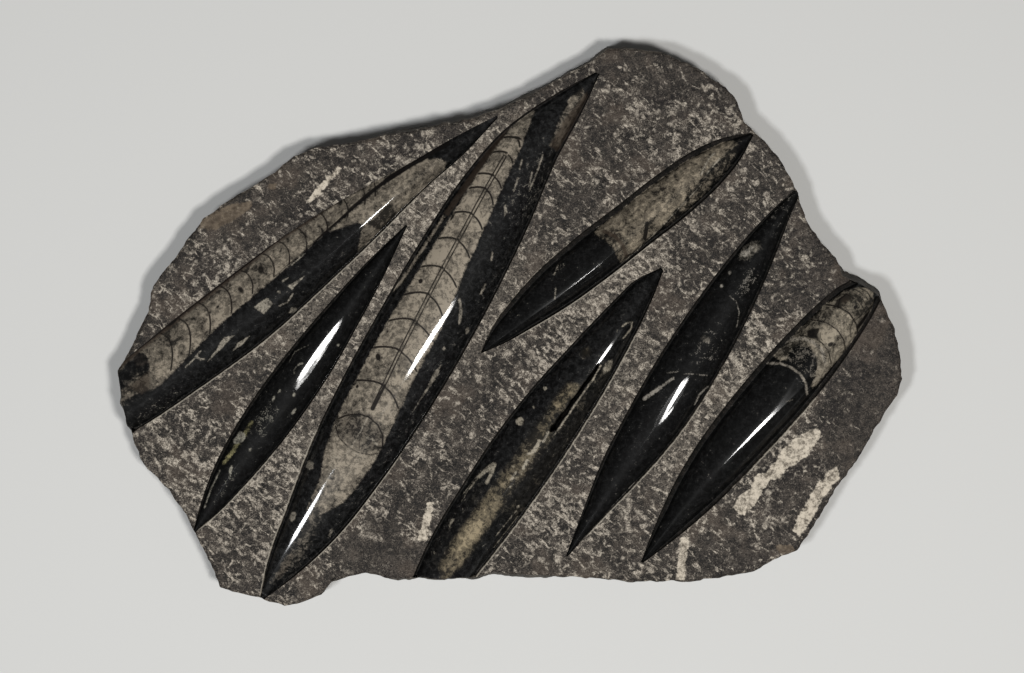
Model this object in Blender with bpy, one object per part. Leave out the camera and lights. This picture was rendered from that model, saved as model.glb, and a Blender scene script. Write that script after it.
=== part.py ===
"""Polished orthoceras plate, modelled in Blender at its real size.

The whole thing is one piece of dark fossil limestone: sawn flat on its back, broken round its edge, pecked
down with a point on its face, and carved so that seven straight shells stand in it as polished spindles,
each one inside a tooled groove.  Lengths are in millimetres until a mesh is made, and then in metres.
"""
import math

import bmesh
import bpy
import numpy as np
from mathutils import Matrix
from mathutils import Vector

MM = 0.001
OBJECT_NAME = "orthoceras_plate"

BLOCK_SIZE = (380.0, 280.0)
# Heights above the sawn back.
FACE_LEVEL = 22.0
CLEAR_ABOVE = 15.0
ROOT_DEPTH = 7.0

# Edge of the pecked face, anticlockwise from the left end, and how far the broken wall below leans out
# of it.  +X is the long way of the plate.
FACE_EDGE = [
    (-178.7, -21.1, 3.0), (-176.7, -36.0, 3.0), (-172.2, -51.5, 3.0), (-168.2, -62.5, 0.4),
    (-155.7, -76.0, 0.4), (-147.2, -88.0, 0.4), (-142.2, -99.0, 0.4), (-135.7, -110.5, 0.4),
    (-132.2, -120.5, 0.4), (-122.7, -123.0, 0.8), (-111.2, -126.0, 0.8), (-102.7, -129.1, 0.8),
    (-94.7, -127.5, 0.8), (-85.7, -124.0, 0.8), (-81.2, -118.0, 0.4), (-72.2, -115.0, 0.4),
    (-65.2, -114.0, 0.4), (-50.7, -116.5, 3.2), (-42.7, -116.0, 3.2), (-15.7, -116.0, 3.2),
    (-6.7, -114.0, 3.2), (14.3, -114.5, 3.2), (34.3, -116.0, 0.4), (55.8, -117.5, 0.4),
    (73.3, -117.5, 0.4), (83.3, -118.0, 0.4), (100.3, -115.5, 0.4), (112.8, -113.0, 0.4),
    (121.8, -108.0, 0.4), (132.8, -103.5, 0.4), (140.3, -92.0, 0.4), (150.8, -74.5, 0.4),
    (161.3, -60.0, 0.4), (168.8, -46.5, 0.4), (178.3, -32.5, 1.4), (180.8, -24.6, 1.6),
    (179.8, -14.1, 0.8), (177.3, -2.5, 0.8), (173.8, 6.5, 0.4), (169.8, 13.4, 4.5), (160.3, 19.4, 4.5),
    (153.8, 22.4, 4.5), (150.8, 30.9, 0.4), (144.3, 36.5, 0.4), (136.3, 49.0, 0.4), (132.3, 62.0, 0.4),
    (125.8, 74.5, 0.4), (119.8, 82.0, 0.4), (108.3, 93.0, 0.4), (105.3, 102.5, 0.4), (99.8, 108.5, 0.4),
    (90.3, 115.5, 0.4), (82.3, 120.5, 0.4), (69.3, 125.0, 0.4), (56.8, 127.0, 3.0), (45.8, 126.5, 3.0),
    (37.3, 120.5, 3.0), (23.3, 113.0, 3.0), (10.3, 105.5, 3.0), (-3.7, 99.5, 3.0), (-17.7, 94.5, 3.0),
    (-36.7, 91.0, 3.0), (-55.7, 87.0, 3.0), (-72.2, 83.5, 0.4), (-86.7, 81.5, 0.4), (-98.7, 77.5, 0.4),
    (-104.7, 72.0, 0.4), (-115.7, 64.0, 0.4), (-126.7, 58.0, 0.4), (-139.7, 48.5, 0.4),
    (-146.2, 40.0, 0.4), (-156.2, 26.9, 0.4), (-162.7, 17.4, 0.4), (-165.7, 5.0, 0.4),
    (-172.2, -9.1, 3.0),
]
EDGE_STEP = 9.5
EDGE_ROUGHNESS = 0.7
# The broken wall: height as a share of the face level, share of the lean, step in from the edge, and
# roughness.
WALL_RINGS = [
    (0.0, 1.0, 0.0, 0.9),
    (0.38, 0.9, 0.1, 1.4),
    (0.74, 0.5, 0.1, 1.0),
    (0.93, 0.15, 0.1, 0.5),
    (1.03, 0.0, 0.9, 0.3),
]
# Half the length and width that the broken wall fits in.
HALF_BOX = (181.2, 129.5)

# How far each ring's points are knocked in or out, as a range times the ring's roughness.
WALL_KNOCK = (-0.3, 1.0)

# The pecked face: a grid of shallow hits on a slow swell, each moved by up to a share of the spacing.
PECK_SPACING = 7.2
PECK_SHIFT = 0.3
PECK_DEPTH = 0.9

# The tooled grooves: depth below the face level, and run of the outer wall from the floor up to the face.
GROOVE_DEPTH = 1.8
GROOVE_SLOPE = 0.6
# Above the face the cutter goes on opening out, by this share of the run for each millimetre of height.
CUTTER_OPENING = 0.1
# Half width of a shell below which its groove narrows, the least share it narrows to, and how far the
# groove stops short of the shell's tips.
GROOVE_FADE = 8.0
GROOVE_LEAST = 0.1
GROOVE_INSET = 1.1
# Least half width of the cutter on a side that has no groove.
HIDDEN_HALF = 0.5
# The cutters reach this far beyond the block and below its back.
CUTTER_MARGIN = 5.0
CUTTER_BELOW = 1.0
RANDOM_SEED = 11

# Seven shells.  Each has the two ends of its axis on the face (x, y), the width of the groove on its right
# and on its left (below 0 where that side runs into the bed without one), how sharp its keel is (0 sharp,
# 1 round), and rows of: place along the axis, cut line to the right, cut line to the left, keel to the left
# of the axis, and height of the keel over the face.
SHELLS = {
    "far_left_shell": dict(
        ends=((-181.3, -45.4), (-5.1, 95.0)), grooves=(1.2, -1.5), keel=0.25, rows=[
            (-6.0, 7.5, 11.0, -1.0, 5.0), (15.0, 10.3, 18.0, -1.0, 5.8), (40.0, 12.2, 19.5, -1.2, 6.6),
            (80.0, 13.8, 19.2, -2.0, 7.4), (120.0, 11.2, 17.6, -2.0, 7.9), (150.0, 8.6, 14.0, -0.3, 7.6),
            (166.0, 6.7, 11.2, 0.5, 7.1), (180.0, 5.2, 8.6, 1.0, 5.6), (205.0, 3.6, 4.8, 0.8, 2.4),
            (225.4, 0.5, 0.7, 0.1, -0.6)]),
    "small_left_shell": dict(
        ends=((-143.7, -94.8), (-46.7, 45.2)), grooves=(1.0, 1.2), keel=0.7, rows=[
            (0.0, 0.5, 0.5, 0.0, -0.6), (12.0, 3.9, 4.8, 0.3, 1.8), (30.0, 7.0, 9.5, 0.8, 3.9),
            (50.0, 9.3, 11.9, 0.8, 5.2), (70.0, 10.3, 12.5, 0.6, 6.0), (95.0, 10.0, 11.4, 0.6, 6.4),
            (120.0, 7.8, 9.0, 0.4, 5.7), (145.0, 4.8, 5.6, 0.2, 3.5), (170.4, 0.5, 0.5, 0.0, -0.6)]),
    "great_shell": dict(
        ends=((-114.4, -127.8), (43.0, 117.5)), grooves=(1.2, 1.2), keel=0.6, rows=[
            (2.0, 0.6, 0.6, 0.0, -0.4), (20.0, 7.4, 7.4, 1.6, 3.2), (45.0, 13.8, 13.0, 2.8, 6.3),
            (75.0, 17.0, 19.3, 3.2, 8.6), (105.0, 18.1, 23.1, 2.4, 9.6), (140.0, 17.5, 25.6, 1.0, 10.0),
            (180.0, 14.7, 27.2, 1.5, 9.6), (215.0, 10.4, 26.6, 3.5, 8.4), (245.0, 5.2, 22.0, 4.5, 6.2),
            (270.0, 3.2, 11.5, 2.0, 3.2), (288.0, 0.6, 1.6, 0.2, -0.4)]),
    "upper_right_shell": dict(
        ends=((-11.9, -12.5), (111.7, 87.2)), grooves=(1.4, 2.6), keel=0.15, rows=[
            (0.0, 0.4, 0.5, 0.0, -0.6), (10.0, 3.2, 5.8, -0.4, 2.0), (25.0, 5.8, 10.1, -1.2, 4.3),
            (45.0, 8.5, 13.2, -2.0, 5.8), (65.0, 9.6, 13.9, -2.4, 6.3), (90.0, 9.9, 13.3, -1.2, 6.2),
            (115.0, 10.2, 12.8, 0.6, 5.5), (135.0, 8.5, 10.7, 1.2, 4.0), (148.0, 5.5, 6.8, 0.6, 2.0),
            (158.8, 0.8, 0.8, 0.0, -0.8)]),
    "cracked_shell": dict(
        ends=((-38.0, -122.3), (73.2, 25.9)), grooves=(1.2, 1.2), keel=0.4, rows=[
            (-12.0, 13.4, 5.0, -0.8, 6.0), (20.0, 14.5, 12.6, -1.0, 6.7), (50.0, 15.0, 15.8, -0.8, 7.3),
            (80.0, 14.2, 17.4, -0.8, 7.6), (105.0, 12.5, 16.8, -0.8, 7.7), (130.0, 9.8, 14.4, 0.0, 7.6),
            (147.0, 7.3, 12.5, 0.3, 7.6), (160.0, 4.9, 10.8, 0.9, 5.3), (172.0, 2.2, 8.6, 1.8, 2.6),
            (183.0, -1.0, 3.0, 2.0, -0.4)]),
    "slim_right_shell": dict(
        ends=((27.0, -105.8), (133.6, 59.9)), grooves=(1.2, 1.4), keel=0.45, rows=[
            (0.0, 0.4, 0.5, 0.0, -0.6), (20.0, 4.0, 4.8, 0.0, 2.4), (45.0, 9.0, 10.0, -0.4, 4.8),
            (70.0, 12.8, 12.5, -0.8, 6.4), (95.0, 13.8, 13.9, -1.2, 7.0), (120.0, 12.5, 13.8, -0.6, 6.6),
            (145.0, 9.7, 12.4, 0.6, 5.6), (170.0, 5.3, 9.5, 1.6, 3.8), (186.0, 1.8, 6.2, 2.0, 1.8),
            (197.0, 0.0, 3.2, 1.6, -0.4)]),
    "right_end_shell": dict(
        ends=((57.6, -113.1), (168.4, 18.6)), grooves=(2.0, 2.6), keel=0.2, rows=[
            (6.0, 0.6, 0.6, 0.0, -0.4), (20.0, 4.0, 5.5, 0.8, 2.6), (40.0, 7.7, 11.3, 1.6, 5.0),
            (60.0, 10.0, 15.0, 1.2, 6.6), (80.0, 11.3, 16.7, -0.2, 7.5), (105.0, 12.3, 17.2, -2.0, 7.8),
            (130.0, 11.7, 16.3, -1.6, 7.3), (150.0, 9.7, 14.3, 0.4, 6.2), (160.0, 8.2, 12.4, 1.4, 5.0),
            (170.0, 6.0, 8.0, 1.6, 3.0)]),
}
# Sections along a shell, and the points across each one from its right edge to its left one.
STATION_COUNT = 19
SECTION = (-1.0, -0.9, -0.6, -0.3, 0.0, 0.3, 0.6, 0.9, 1.0)
# Share of a section's height that is full, round flank, how blunt that flank is, and the least bend of a
# keel.
FLANK_SHARE = 0.38
FLANK_POWER = 6
LEAST_BEND = 0.02

# The open crack beside the keel of one shell: (along its axis, to the left of its axis), round the opening.
CRACKED_SHELL = "cracked_shell"
CRACK_OUTLINE = [
    (93.0, -1.6), (95.5, -3.3), (98.5, -3.1), (101.0, -2.6), (104.0, -3.0), (109.0, -2.3), (114.0, -2.5),
    (119.0, -2.0), (124.0, -2.2), (130.0, -1.6), (130.5, -0.7), (125.0, -0.8), (120.0, -0.5), (115.0, -0.9),
    (110.0, -0.7), (105.0, -1.1), (101.5, -0.7), (98.0, -1.0), (95.5, -0.6),
]
CRACK_FLOOR = 19.0

STONE_COLOUR = (0.055, 0.052, 0.048, 1.0)
STONE_ROUGHNESS = 0.55


def smooth(places, values, at):
    """Cubic Hermite curve through (place, value) rows, with slopes taken from the neighbouring rows."""
    places = np.asarray(places, float)
    values = np.asarray(values, float)
    slopes = np.gradient(values, places)
    row = np.clip(np.searchsorted(places, at) - 1, 0, len(places) - 2)
    width = places[row + 1] - places[row]
    share = (at - places[row]) / width
    rise = 3 * share**2 - 2 * share**3
    start_pull = share**3 - 2 * share**2 + share
    end_pull = share**3 - share**2
    return (values[row] * (1 - rise) + values[row + 1] * rise
            + width * (start_pull * slopes[row] + end_pull * slopes[row + 1]))


def swell(x, y):
    """Slow rise and fall of the pecked face about its level: two crossed sine waves."""
    return 0.55 * np.sin(x / 37.0 + 0.6) * np.cos(y / 29.0 - 0.5) + 0.35 * np.sin((x - y) / 21.0)


def roof(side, keel):
    """Height, 1 at the keel and 0 at the edge of a half width: a keel that falls to a curved flank."""
    bend = keel + LEAST_BEND
    facet = 1 - (np.hypot(side, bend) - bend) / (math.hypot(1, bend) - bend)
    return (1 - FLANK_SHARE) * facet + FLANK_SHARE * (1 - side**FLANK_POWER)


class Shell:
    """One carved shell: its axis on the face, and its cut lines, keel and height anywhere along it."""

    def __init__(self, ends, grooves, keel, rows):
        self.start = np.array(ends[0])
        run = np.array(ends[1]) - self.start
        self.along = run / np.hypot(*run)
        self.left = np.array([-self.along[1], self.along[0]])
        self.keel_roundness = keel
        self.grooves = grooves
        self.table = np.array(rows).T

    def stations(self, count, inset=0.0):
        """Places along the axis, closer together towards the ends, and clear of them by the inset."""
        first, last = self.table[0][0] + inset, self.table[0][-1] - inset
        turn = np.linspace(0, math.pi, count)
        return first + (last - first) * (1 - np.cos(turn)) / 2

    def row(self, column, at):
        return smooth(self.table[0], self.table[column], at)

    def body_edges(self, at):
        """Cut lines less the groove, whose width fades towards the tips."""
        right, left = self.row(1, at), self.row(2, at)
        narrow = np.clip((right + left) / 2 / GROOVE_FADE, 0, 1)
        return right - self.grooves[0] * narrow, left - self.grooves[1] * narrow

    def to_plate(self, at, across, height):
        """Axis coordinates to plate coordinates."""
        x = self.start[0] + self.along[0] * at + self.left[0] * across
        y = self.start[1] + self.along[1] * at + self.left[1] * across
        return np.stack([x, y, np.broadcast_to(height, x.shape)], axis=-1)

    def body_sections(self):
        """Closed sections from the right foot over the keel to the left foot."""
        at = self.stations(STATION_COUNT)[:, None]
        right, left = self.body_edges(at)
        keel, height = self.row(3, at), self.row(4, at)
        side = np.array(SECTION)[None, :]
        across = np.where(side < 0, keel + side * (keel + right), keel + side * (left - keel))
        rise = -GROOVE_DEPTH + (height + GROOVE_DEPTH) * roof(np.abs(side), self.keel_roundness)
        top = self.to_plate(at, across, FACE_LEVEL + rise)
        foot = np.full_like(at, FACE_LEVEL - ROOT_DEPTH)
        return np.concatenate([top, self.to_plate(at, left, foot), self.to_plate(at, -right, foot)], axis=1)

    def groove_sections(self):
        """Four-cornered sections of the air above the groove, wider at the top than at its floor."""
        at = self.stations(STATION_COUNT, GROOVE_INSET)[:, None]
        right, left = self.row(1, at), self.row(2, at)
        if self.grooves[1] < 0:
            left = np.maximum(left + 2 * self.grooves[1], HIDDEN_HALF - right / 2)
        floor = FACE_LEVEL - GROOVE_DEPTH
        top = FACE_LEVEL + CLEAR_ABOVE
        slope = GROOVE_SLOPE * np.clip((right + left) / 2 / GROOVE_FADE, GROOVE_LEAST, 1)
        lean = slope * CLEAR_ABOVE * CUTTER_OPENING
        corners = [
            (right - slope, -1, floor),
            (right + lean, -1, top),
            (left + lean, 1, top),
            (left - slope, 1, floor),
        ]
        return np.concatenate([self.to_plate(at, sign * width, z) for width, sign, z in corners], axis=1)


def new_collection(name):
    collection = bpy.data.collections.new(name)
    bpy.context.scene.collection.children.link(collection)
    return collection


def mesh_object(name, mesh, collection):
    obj = bpy.data.objects.new(name, mesh)
    collection.objects.link(obj)
    return obj


def loft(name, sections, collection):
    """Closed skin over a row of closed sections with the same number of points, capped at both ends."""
    bm = bmesh.new()
    rings = [[bm.verts.new(point * MM) for point in ring] for ring in sections]
    for ring, following in zip(rings, rings[1:]):
        for k in range(len(ring)):
            nxt = (k + 1) % len(ring)
            bm.faces.new((ring[k], ring[nxt], following[nxt], following[k]))
    bm.faces.new(rings[0])
    bm.faces.new(rings[-1])
    bmesh.ops.triangulate(bm, faces=bm.faces)
    bmesh.ops.recalc_face_normals(bm, faces=bm.faces)
    mesh = bpy.data.meshes.new(name)
    bm.to_mesh(mesh)
    bm.free()
    return mesh_object(name, mesh, collection)


def as_cutter(obj):
    obj.hide_render = True
    obj.display_type = "WIRE"
    return obj


def sawn_block(collection):
    """Plain block that the plate is cut from, with its sawn back on Z = 0."""
    bpy.ops.mesh.primitive_cube_add(size=1.0)
    block = bpy.context.object
    block.name = "fossil_slab"
    size = Vector((*BLOCK_SIZE, FACE_LEVEL + CLEAR_ABOVE / 2)) * MM
    block.data.transform(Matrix.Translation((0, 0, size.z / 2)) @ Matrix.Diagonal((*size, 1)))
    for other in list(block.users_collection):
        other.objects.unlink(block)
    collection.objects.link(block)
    return block


def edge_loop(rng):
    """The edge of the face in steps of about EDGE_STEP, each new point knocked in or out, with its lean."""
    corners = np.array(FACE_EDGE)
    points = []
    for start, end in zip(corners, np.roll(corners, -1, axis=0)):
        run = end - start
        length = np.hypot(run[0], run[1])
        out = np.array([run[1], -run[0], 0.0]) / length
        pieces = max(1, round(length / EDGE_STEP))
        for k in range(pieces):
            knock = rng.uniform(-EDGE_ROUGHNESS, EDGE_ROUGHNESS) if k else 0.0
            points.append(start + run * k / pieces + out * knock)
    return np.array(points)


def wall_sections(rng):
    """Rings of the broken wall, from below the sawn back to above the highest keel."""
    loop = edge_loop(rng)
    edge, lean = loop[:, :2], loop[:, 2]
    run = np.roll(edge, -1, axis=0) - np.roll(edge, 1, axis=0)
    out = np.stack([run[:, 1], -run[:, 0]], axis=1) / np.hypot(run[:, 0], run[:, 1])[:, None]
    rings = []
    for height_share, lean_share, step_in, rough in WALL_RINGS:
        offset = lean * lean_share - step_in - rng.uniform(*WALL_KNOCK, len(edge)) * rough
        ring = np.clip(edge + out * offset[:, None], -np.array(HALF_BOX), HALF_BOX)
        rings.append(np.column_stack([ring, np.full(len(edge), height_share * FACE_LEVEL)]))
    above = rings[-1].copy()
    above[:, 2] = FACE_LEVEL + CLEAR_ABOVE
    below = rings[0].copy()
    below[:, 2] = -CUTTER_BELOW
    return [below] + rings + [above]


def pecked_air(rng, collection):
    """Cutter for the pecked face: a grid that rises and falls with the swell and the hits, drawn up."""
    size_x, size_y = (side + 2 * CUTTER_MARGIN for side in BLOCK_SIZE)
    count_x, count_y = round(size_x / PECK_SPACING), round(size_y / PECK_SPACING)
    bm = bmesh.new()
    bmesh.ops.create_grid(bm, x_segments=count_x, y_segments=count_y, size=0.5)
    bm.verts.ensure_lookup_table()
    shift = rng.uniform(-PECK_SHIFT, PECK_SHIFT, (len(bm.verts), 2)) * PECK_SPACING
    hit = rng.uniform(-1, 1, len(bm.verts)) * PECK_DEPTH
    for vert, (dx, dy), depth in zip(bm.verts, shift, hit):
        x, y = vert.co.x * size_x + dx, vert.co.y * size_y + dy
        vert.co = (x * MM, y * MM, (FACE_LEVEL + swell(x, y) + depth) * MM)
    lifted = bmesh.ops.extrude_face_region(bm, geom=list(bm.faces))
    for item in lifted["geom"]:
        if isinstance(item, bmesh.types.BMVert):
            item.co.z = (FACE_LEVEL + 2 * CLEAR_ABOVE) * MM
    bmesh.ops.triangulate(bm, faces=bm.faces)
    bmesh.ops.recalc_face_normals(bm, faces=bm.faces)
    mesh = bpy.data.meshes.new("pecked_air")
    bm.to_mesh(mesh)
    bm.free()
    return mesh_object("pecked_air", mesh, collection)


def crack_air(shell, collection):
    """Cutter for the open crack: its outline, drawn up from the floor of the crack."""
    outline = np.array(CRACK_OUTLINE)
    levels = (CRACK_FLOOR, FACE_LEVEL + CLEAR_ABOVE)
    rings = [shell.to_plate(outline[:, 0], outline[:, 1], z) for z in levels]
    return loft("crack_air", rings, collection)


def stone_material():
    material = bpy.data.materials.new("dark_fossil_limestone")
    material.use_nodes = True
    shader = material.node_tree.nodes["Principled BSDF"]
    shader.inputs["Base Color"].default_value = STONE_COLOUR
    shader.inputs["Roughness"].default_value = STONE_ROUGHNESS
    shader.inputs["Metallic"].default_value = 0.0
    material.diffuse_color = STONE_COLOUR
    return material


def carve(obj, operation, tool):
    modifier = obj.modifiers.new(operation.lower() + "_" + tool.name, "BOOLEAN")
    modifier.operation = operation
    modifier.solver = "EXACT"
    modifier.object = tool


def build():
    for obj in list(bpy.data.objects):
        bpy.data.objects.remove(obj, do_unlink=True)
    parts = new_collection(OBJECT_NAME)
    tools = new_collection("cutters")
    rng = np.random.default_rng(RANDOM_SEED)

    slab = sawn_block(parts)
    slab.data.materials.append(stone_material())

    carve(slab, "DIFFERENCE", as_cutter(pecked_air(rng, tools)))
    for name, values in SHELLS.items():
        shell = Shell(**values)
        carve(slab, "DIFFERENCE", as_cutter(loft(name + "_groove", shell.groove_sections(), tools)))
    for name, values in SHELLS.items():
        shell = Shell(**values)
        carve(slab, "UNION", as_cutter(loft(name, shell.body_sections(), tools)))
        if name == CRACKED_SHELL:
            crack = as_cutter(crack_air(shell, tools))
    carve(slab, "INTERSECT", as_cutter(loft("broken_wall", wall_sections(rng), tools)))
    carve(slab, "DIFFERENCE", crack)


build()
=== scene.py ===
"""Polished orthoceras plate: dark fossil limestone, pecked on its face, broken round its edge,
sawn on its back, with seven straight shells carved and polished in it.  Lengths are in
millimetres until a mesh is made."""
import math

import bpy
import numpy as np
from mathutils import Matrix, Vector


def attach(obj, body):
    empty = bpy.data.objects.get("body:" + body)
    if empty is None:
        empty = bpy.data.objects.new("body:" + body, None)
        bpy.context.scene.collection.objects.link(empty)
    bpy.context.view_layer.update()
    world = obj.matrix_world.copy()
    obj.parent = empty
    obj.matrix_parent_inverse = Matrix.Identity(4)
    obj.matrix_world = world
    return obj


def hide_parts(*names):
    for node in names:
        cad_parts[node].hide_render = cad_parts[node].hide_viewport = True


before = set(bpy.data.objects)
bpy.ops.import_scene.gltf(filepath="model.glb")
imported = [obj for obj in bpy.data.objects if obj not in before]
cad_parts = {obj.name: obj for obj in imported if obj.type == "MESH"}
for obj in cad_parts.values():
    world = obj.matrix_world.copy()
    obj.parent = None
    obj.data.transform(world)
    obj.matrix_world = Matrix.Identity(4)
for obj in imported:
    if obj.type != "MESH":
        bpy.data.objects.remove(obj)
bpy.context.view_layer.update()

# --------------------------------------------------------------------------------------------------
# The plate: one slab broken out of a bed.  Its edge on the face, anticlockwise from the left end, and how
# far the broken wall below leans out of it.  The face rises and falls a little about its level, as a pecked
# face does.
MM = 0.001
FACE_LEVEL = 22.0
FACE_EDGE = [
    (-178.7, -21.1, 3.0), (-176.7, -36.0, 3.0), (-172.2, -51.5, 3.0), (-168.2, -62.5, 0.4),
    (-155.7, -76.0, 0.4), (-147.2, -88.0, 0.4), (-142.2, -99.0, 0.4), (-135.7, -110.5, 0.4),
    (-132.2, -120.5, 0.4), (-122.7, -123.0, 0.8), (-111.2, -126.0, 0.8), (-102.7, -129.1, 0.8),
    (-94.7, -127.5, 0.8), (-85.7, -124.0, 0.8), (-81.2, -118.0, 0.4), (-72.2, -115.0, 0.4),
    (-65.2, -114.0, 0.4), (-50.7, -116.5, 3.2), (-42.7, -116.0, 3.2), (-15.7, -116.0, 3.2),
    (-6.7, -114.0, 3.2), (14.3, -114.5, 3.2), (34.3, -116.0, 0.4), (55.8, -117.5, 0.4),
    (73.3, -117.5, 0.4), (83.3, -118.0, 0.4), (100.3, -115.5, 0.4), (112.8, -113.0, 0.4),
    (121.8, -108.0, 0.4), (132.8, -103.5, 0.4), (140.3, -92.0, 0.4), (150.8, -74.5, 0.4),
    (161.3, -60.0, 0.4), (168.8, -46.5, 0.4), (178.3, -32.5, 1.4), (180.8, -24.6, 1.6),
    (179.8, -14.1, 0.8), (177.3, -2.5, 0.8), (173.8, 6.5, 0.4), (169.8, 13.4, 4.5), (160.3, 19.4, 4.5),
    (153.8, 22.4, 4.5), (150.8, 30.9, 0.4), (144.3, 36.5, 0.4), (136.3, 49.0, 0.4), (132.3, 62.0, 0.4),
    (125.8, 74.5, 0.4), (119.8, 82.0, 0.4), (108.3, 93.0, 0.4), (105.3, 102.5, 0.4), (99.8, 108.5, 0.4),
    (90.3, 115.5, 0.4), (82.3, 120.5, 0.4), (69.3, 125.0, 0.4), (56.8, 127.0, 3.0), (45.8, 126.5, 3.0),
    (37.3, 120.5, 3.0), (23.3, 113.0, 3.0), (10.3, 105.5, 3.0), (-3.7, 99.5, 3.0), (-17.7, 94.5, 3.0),
    (-36.7, 91.0, 3.0), (-55.7, 87.0, 3.0), (-72.2, 83.5, 0.4), (-86.7, 81.5, 0.4), (-98.7, 77.5, 0.4),
    (-104.7, 72.0, 0.4), (-115.7, 64.0, 0.4), (-126.7, 58.0, 0.4), (-139.7, 48.5, 0.4),
    (-146.2, 40.0, 0.4), (-156.2, 26.9, 0.4), (-162.7, 17.4, 0.4), (-165.7, 5.0, 0.4),
    (-172.2, -9.1, 3.0),
]


def ground(x, y, size, seed):
    """Smooth random field from -1 to 1: random values on a square lattice of the
    given size, eased between."""
    table = np.random.default_rng(seed).uniform(-1, 1, (256, 256))
    u, v = x / size, y / size
    i, j = np.floor(u).astype(int), np.floor(v).astype(int)
    a, b = u - i, v - j
    a, b = a * a * (3 - 2 * a), b * b * (3 - 2 * b)
    low = table[i % 256, j % 256] * (1 - a) + table[(i + 1) % 256, j % 256] * a
    high = table[i % 256, (j + 1) % 256] * (1 - a) + table[(i + 1) % 256, (j + 1) % 256] * a
    return low * (1 - b) + high * b


def ease(value, start, end):
    """0 before start, 1 after end, and 3q^2 - 2q^3 between."""
    q = np.clip((value - start) / (end - start), 0, 1)
    return q * q * (3 - 2 * q)


def edge_table(step):
    """The face's edge as rows of angle, distance from the middle, lean: its straight
    runs cut into short steps."""
    corners = np.array(FACE_EDGE)
    runs = np.roll(corners, -1, axis=0) - corners
    counts = np.maximum(1, np.round(np.hypot(runs[:, 0], runs[:, 1]) / step)).astype(int)
    owner = np.repeat(np.arange(len(corners)), counts)
    share = np.concatenate([np.arange(n) / n for n in counts])
    points = corners[owner] + runs[owner] * share[:, None]
    angle = np.arctan2(points[:, 1], points[:, 0])
    order = np.argsort(angle)
    return angle[order], np.hypot(points[:, 0], points[:, 1])[order], points[order, 2]


EDGE_ANGLE, EDGE_DISTANCE, EDGE_LEAN = edge_table(0.4)


def edge_distance(angle):
    """Distance of the face's edge from the middle: the straight runs, chipped in and out
    by up to about 0.8 mm."""
    base = np.interp(angle, EDGE_ANGLE, EDGE_DISTANCE, period=2 * math.pi)
    x, y = base * np.cos(angle), base * np.sin(angle)
    return base + 0.45 * ground(x, y, 5.0, 3) + 0.3 * ground(x, y, 2.1, 4) - 0.3


def swell(x, y):
    """Slow rise and fall of the pecked face about its level: two crossed sine waves."""
    return 0.55 * np.sin(x / 37.0 + 0.6) * np.cos(y / 29.0 - 0.5) + 0.35 * np.sin((x - y) / 21.0)


def smooth(places, values, at):
    """Cubic Hermite curve through (place, value) rows, with slopes taken from the neighbouring rows."""
    places, values = np.asarray(places, float), np.asarray(values, float)
    slopes = np.gradient(values, places)
    row = np.clip(np.searchsorted(places, at) - 1, 0, len(places) - 2)
    width = places[row + 1] - places[row]
    share = np.clip((at - places[row]) / width, 0, 1)
    rise = 3 * share**2 - 2 * share**3
    return (values[row] * (1 - rise) + values[row + 1] * rise
            + width * ((share**3 - 2 * share**2 + share) * slopes[row]
                       + (share**3 - share**2) * slopes[row + 1]))


# --------------------------------------------------------------------------------------------------
# The seven shells: each was cut free of the bed by a tooled groove, ground to a long spindle with a soft
# keel and polished.  Inside the black stone the sections of the shell's chambers show as grey and white
# calcite.
GROOVE_DEPTH = 1.8
GROOVE_FADE = 8.0       # half width of a shell below which its grooves narrow towards the tip
GROOVE_SHARES = (0.0, 0.14, 0.3, 0.5, 0.75)  # across the groove, from its cut line to the body
WALL_RUN = 0.7          # how far in from the cut line the groove's wall slopes down
CUT_LINE_LAP = 0.03     # how far a skin's border lies under its neighbour's
CRACK_DEPTH = 9.0       # below the polished surface
CREST_SHARE = 0.13      # half width of the worn crest, of the shell's whole width
FLAT_CLEARANCE = 0.12   # how far a flat's two ends stand clear over the keel, so that it fades out
FLAT_BLEND = 0.002      # roundness where a flat meets the keel, in square millimetres
SKIRT = 1.1             # how far the hidden skirt reaches out under the pecked face
SKIRT_TOP = -2.2        # the skirt's two heights over the face level
SKIRT_FOOT = -8.0
SKIRT_INSET = 1.5       # how far the hidden parts stay inside the plate's edge


def roof(side, keel, flank):
    """Height over a half width of 0 to 1: a keel that falls to a curved flank, 1 at the
    keel and 0 at the edge."""
    bend = keel + 0.02
    facet = 1 - (np.hypot(side, bend) - bend) / (math.hypot(1, bend) - bend)
    return (1 - flank) * facet + flank * (1 - side**6)


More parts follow.
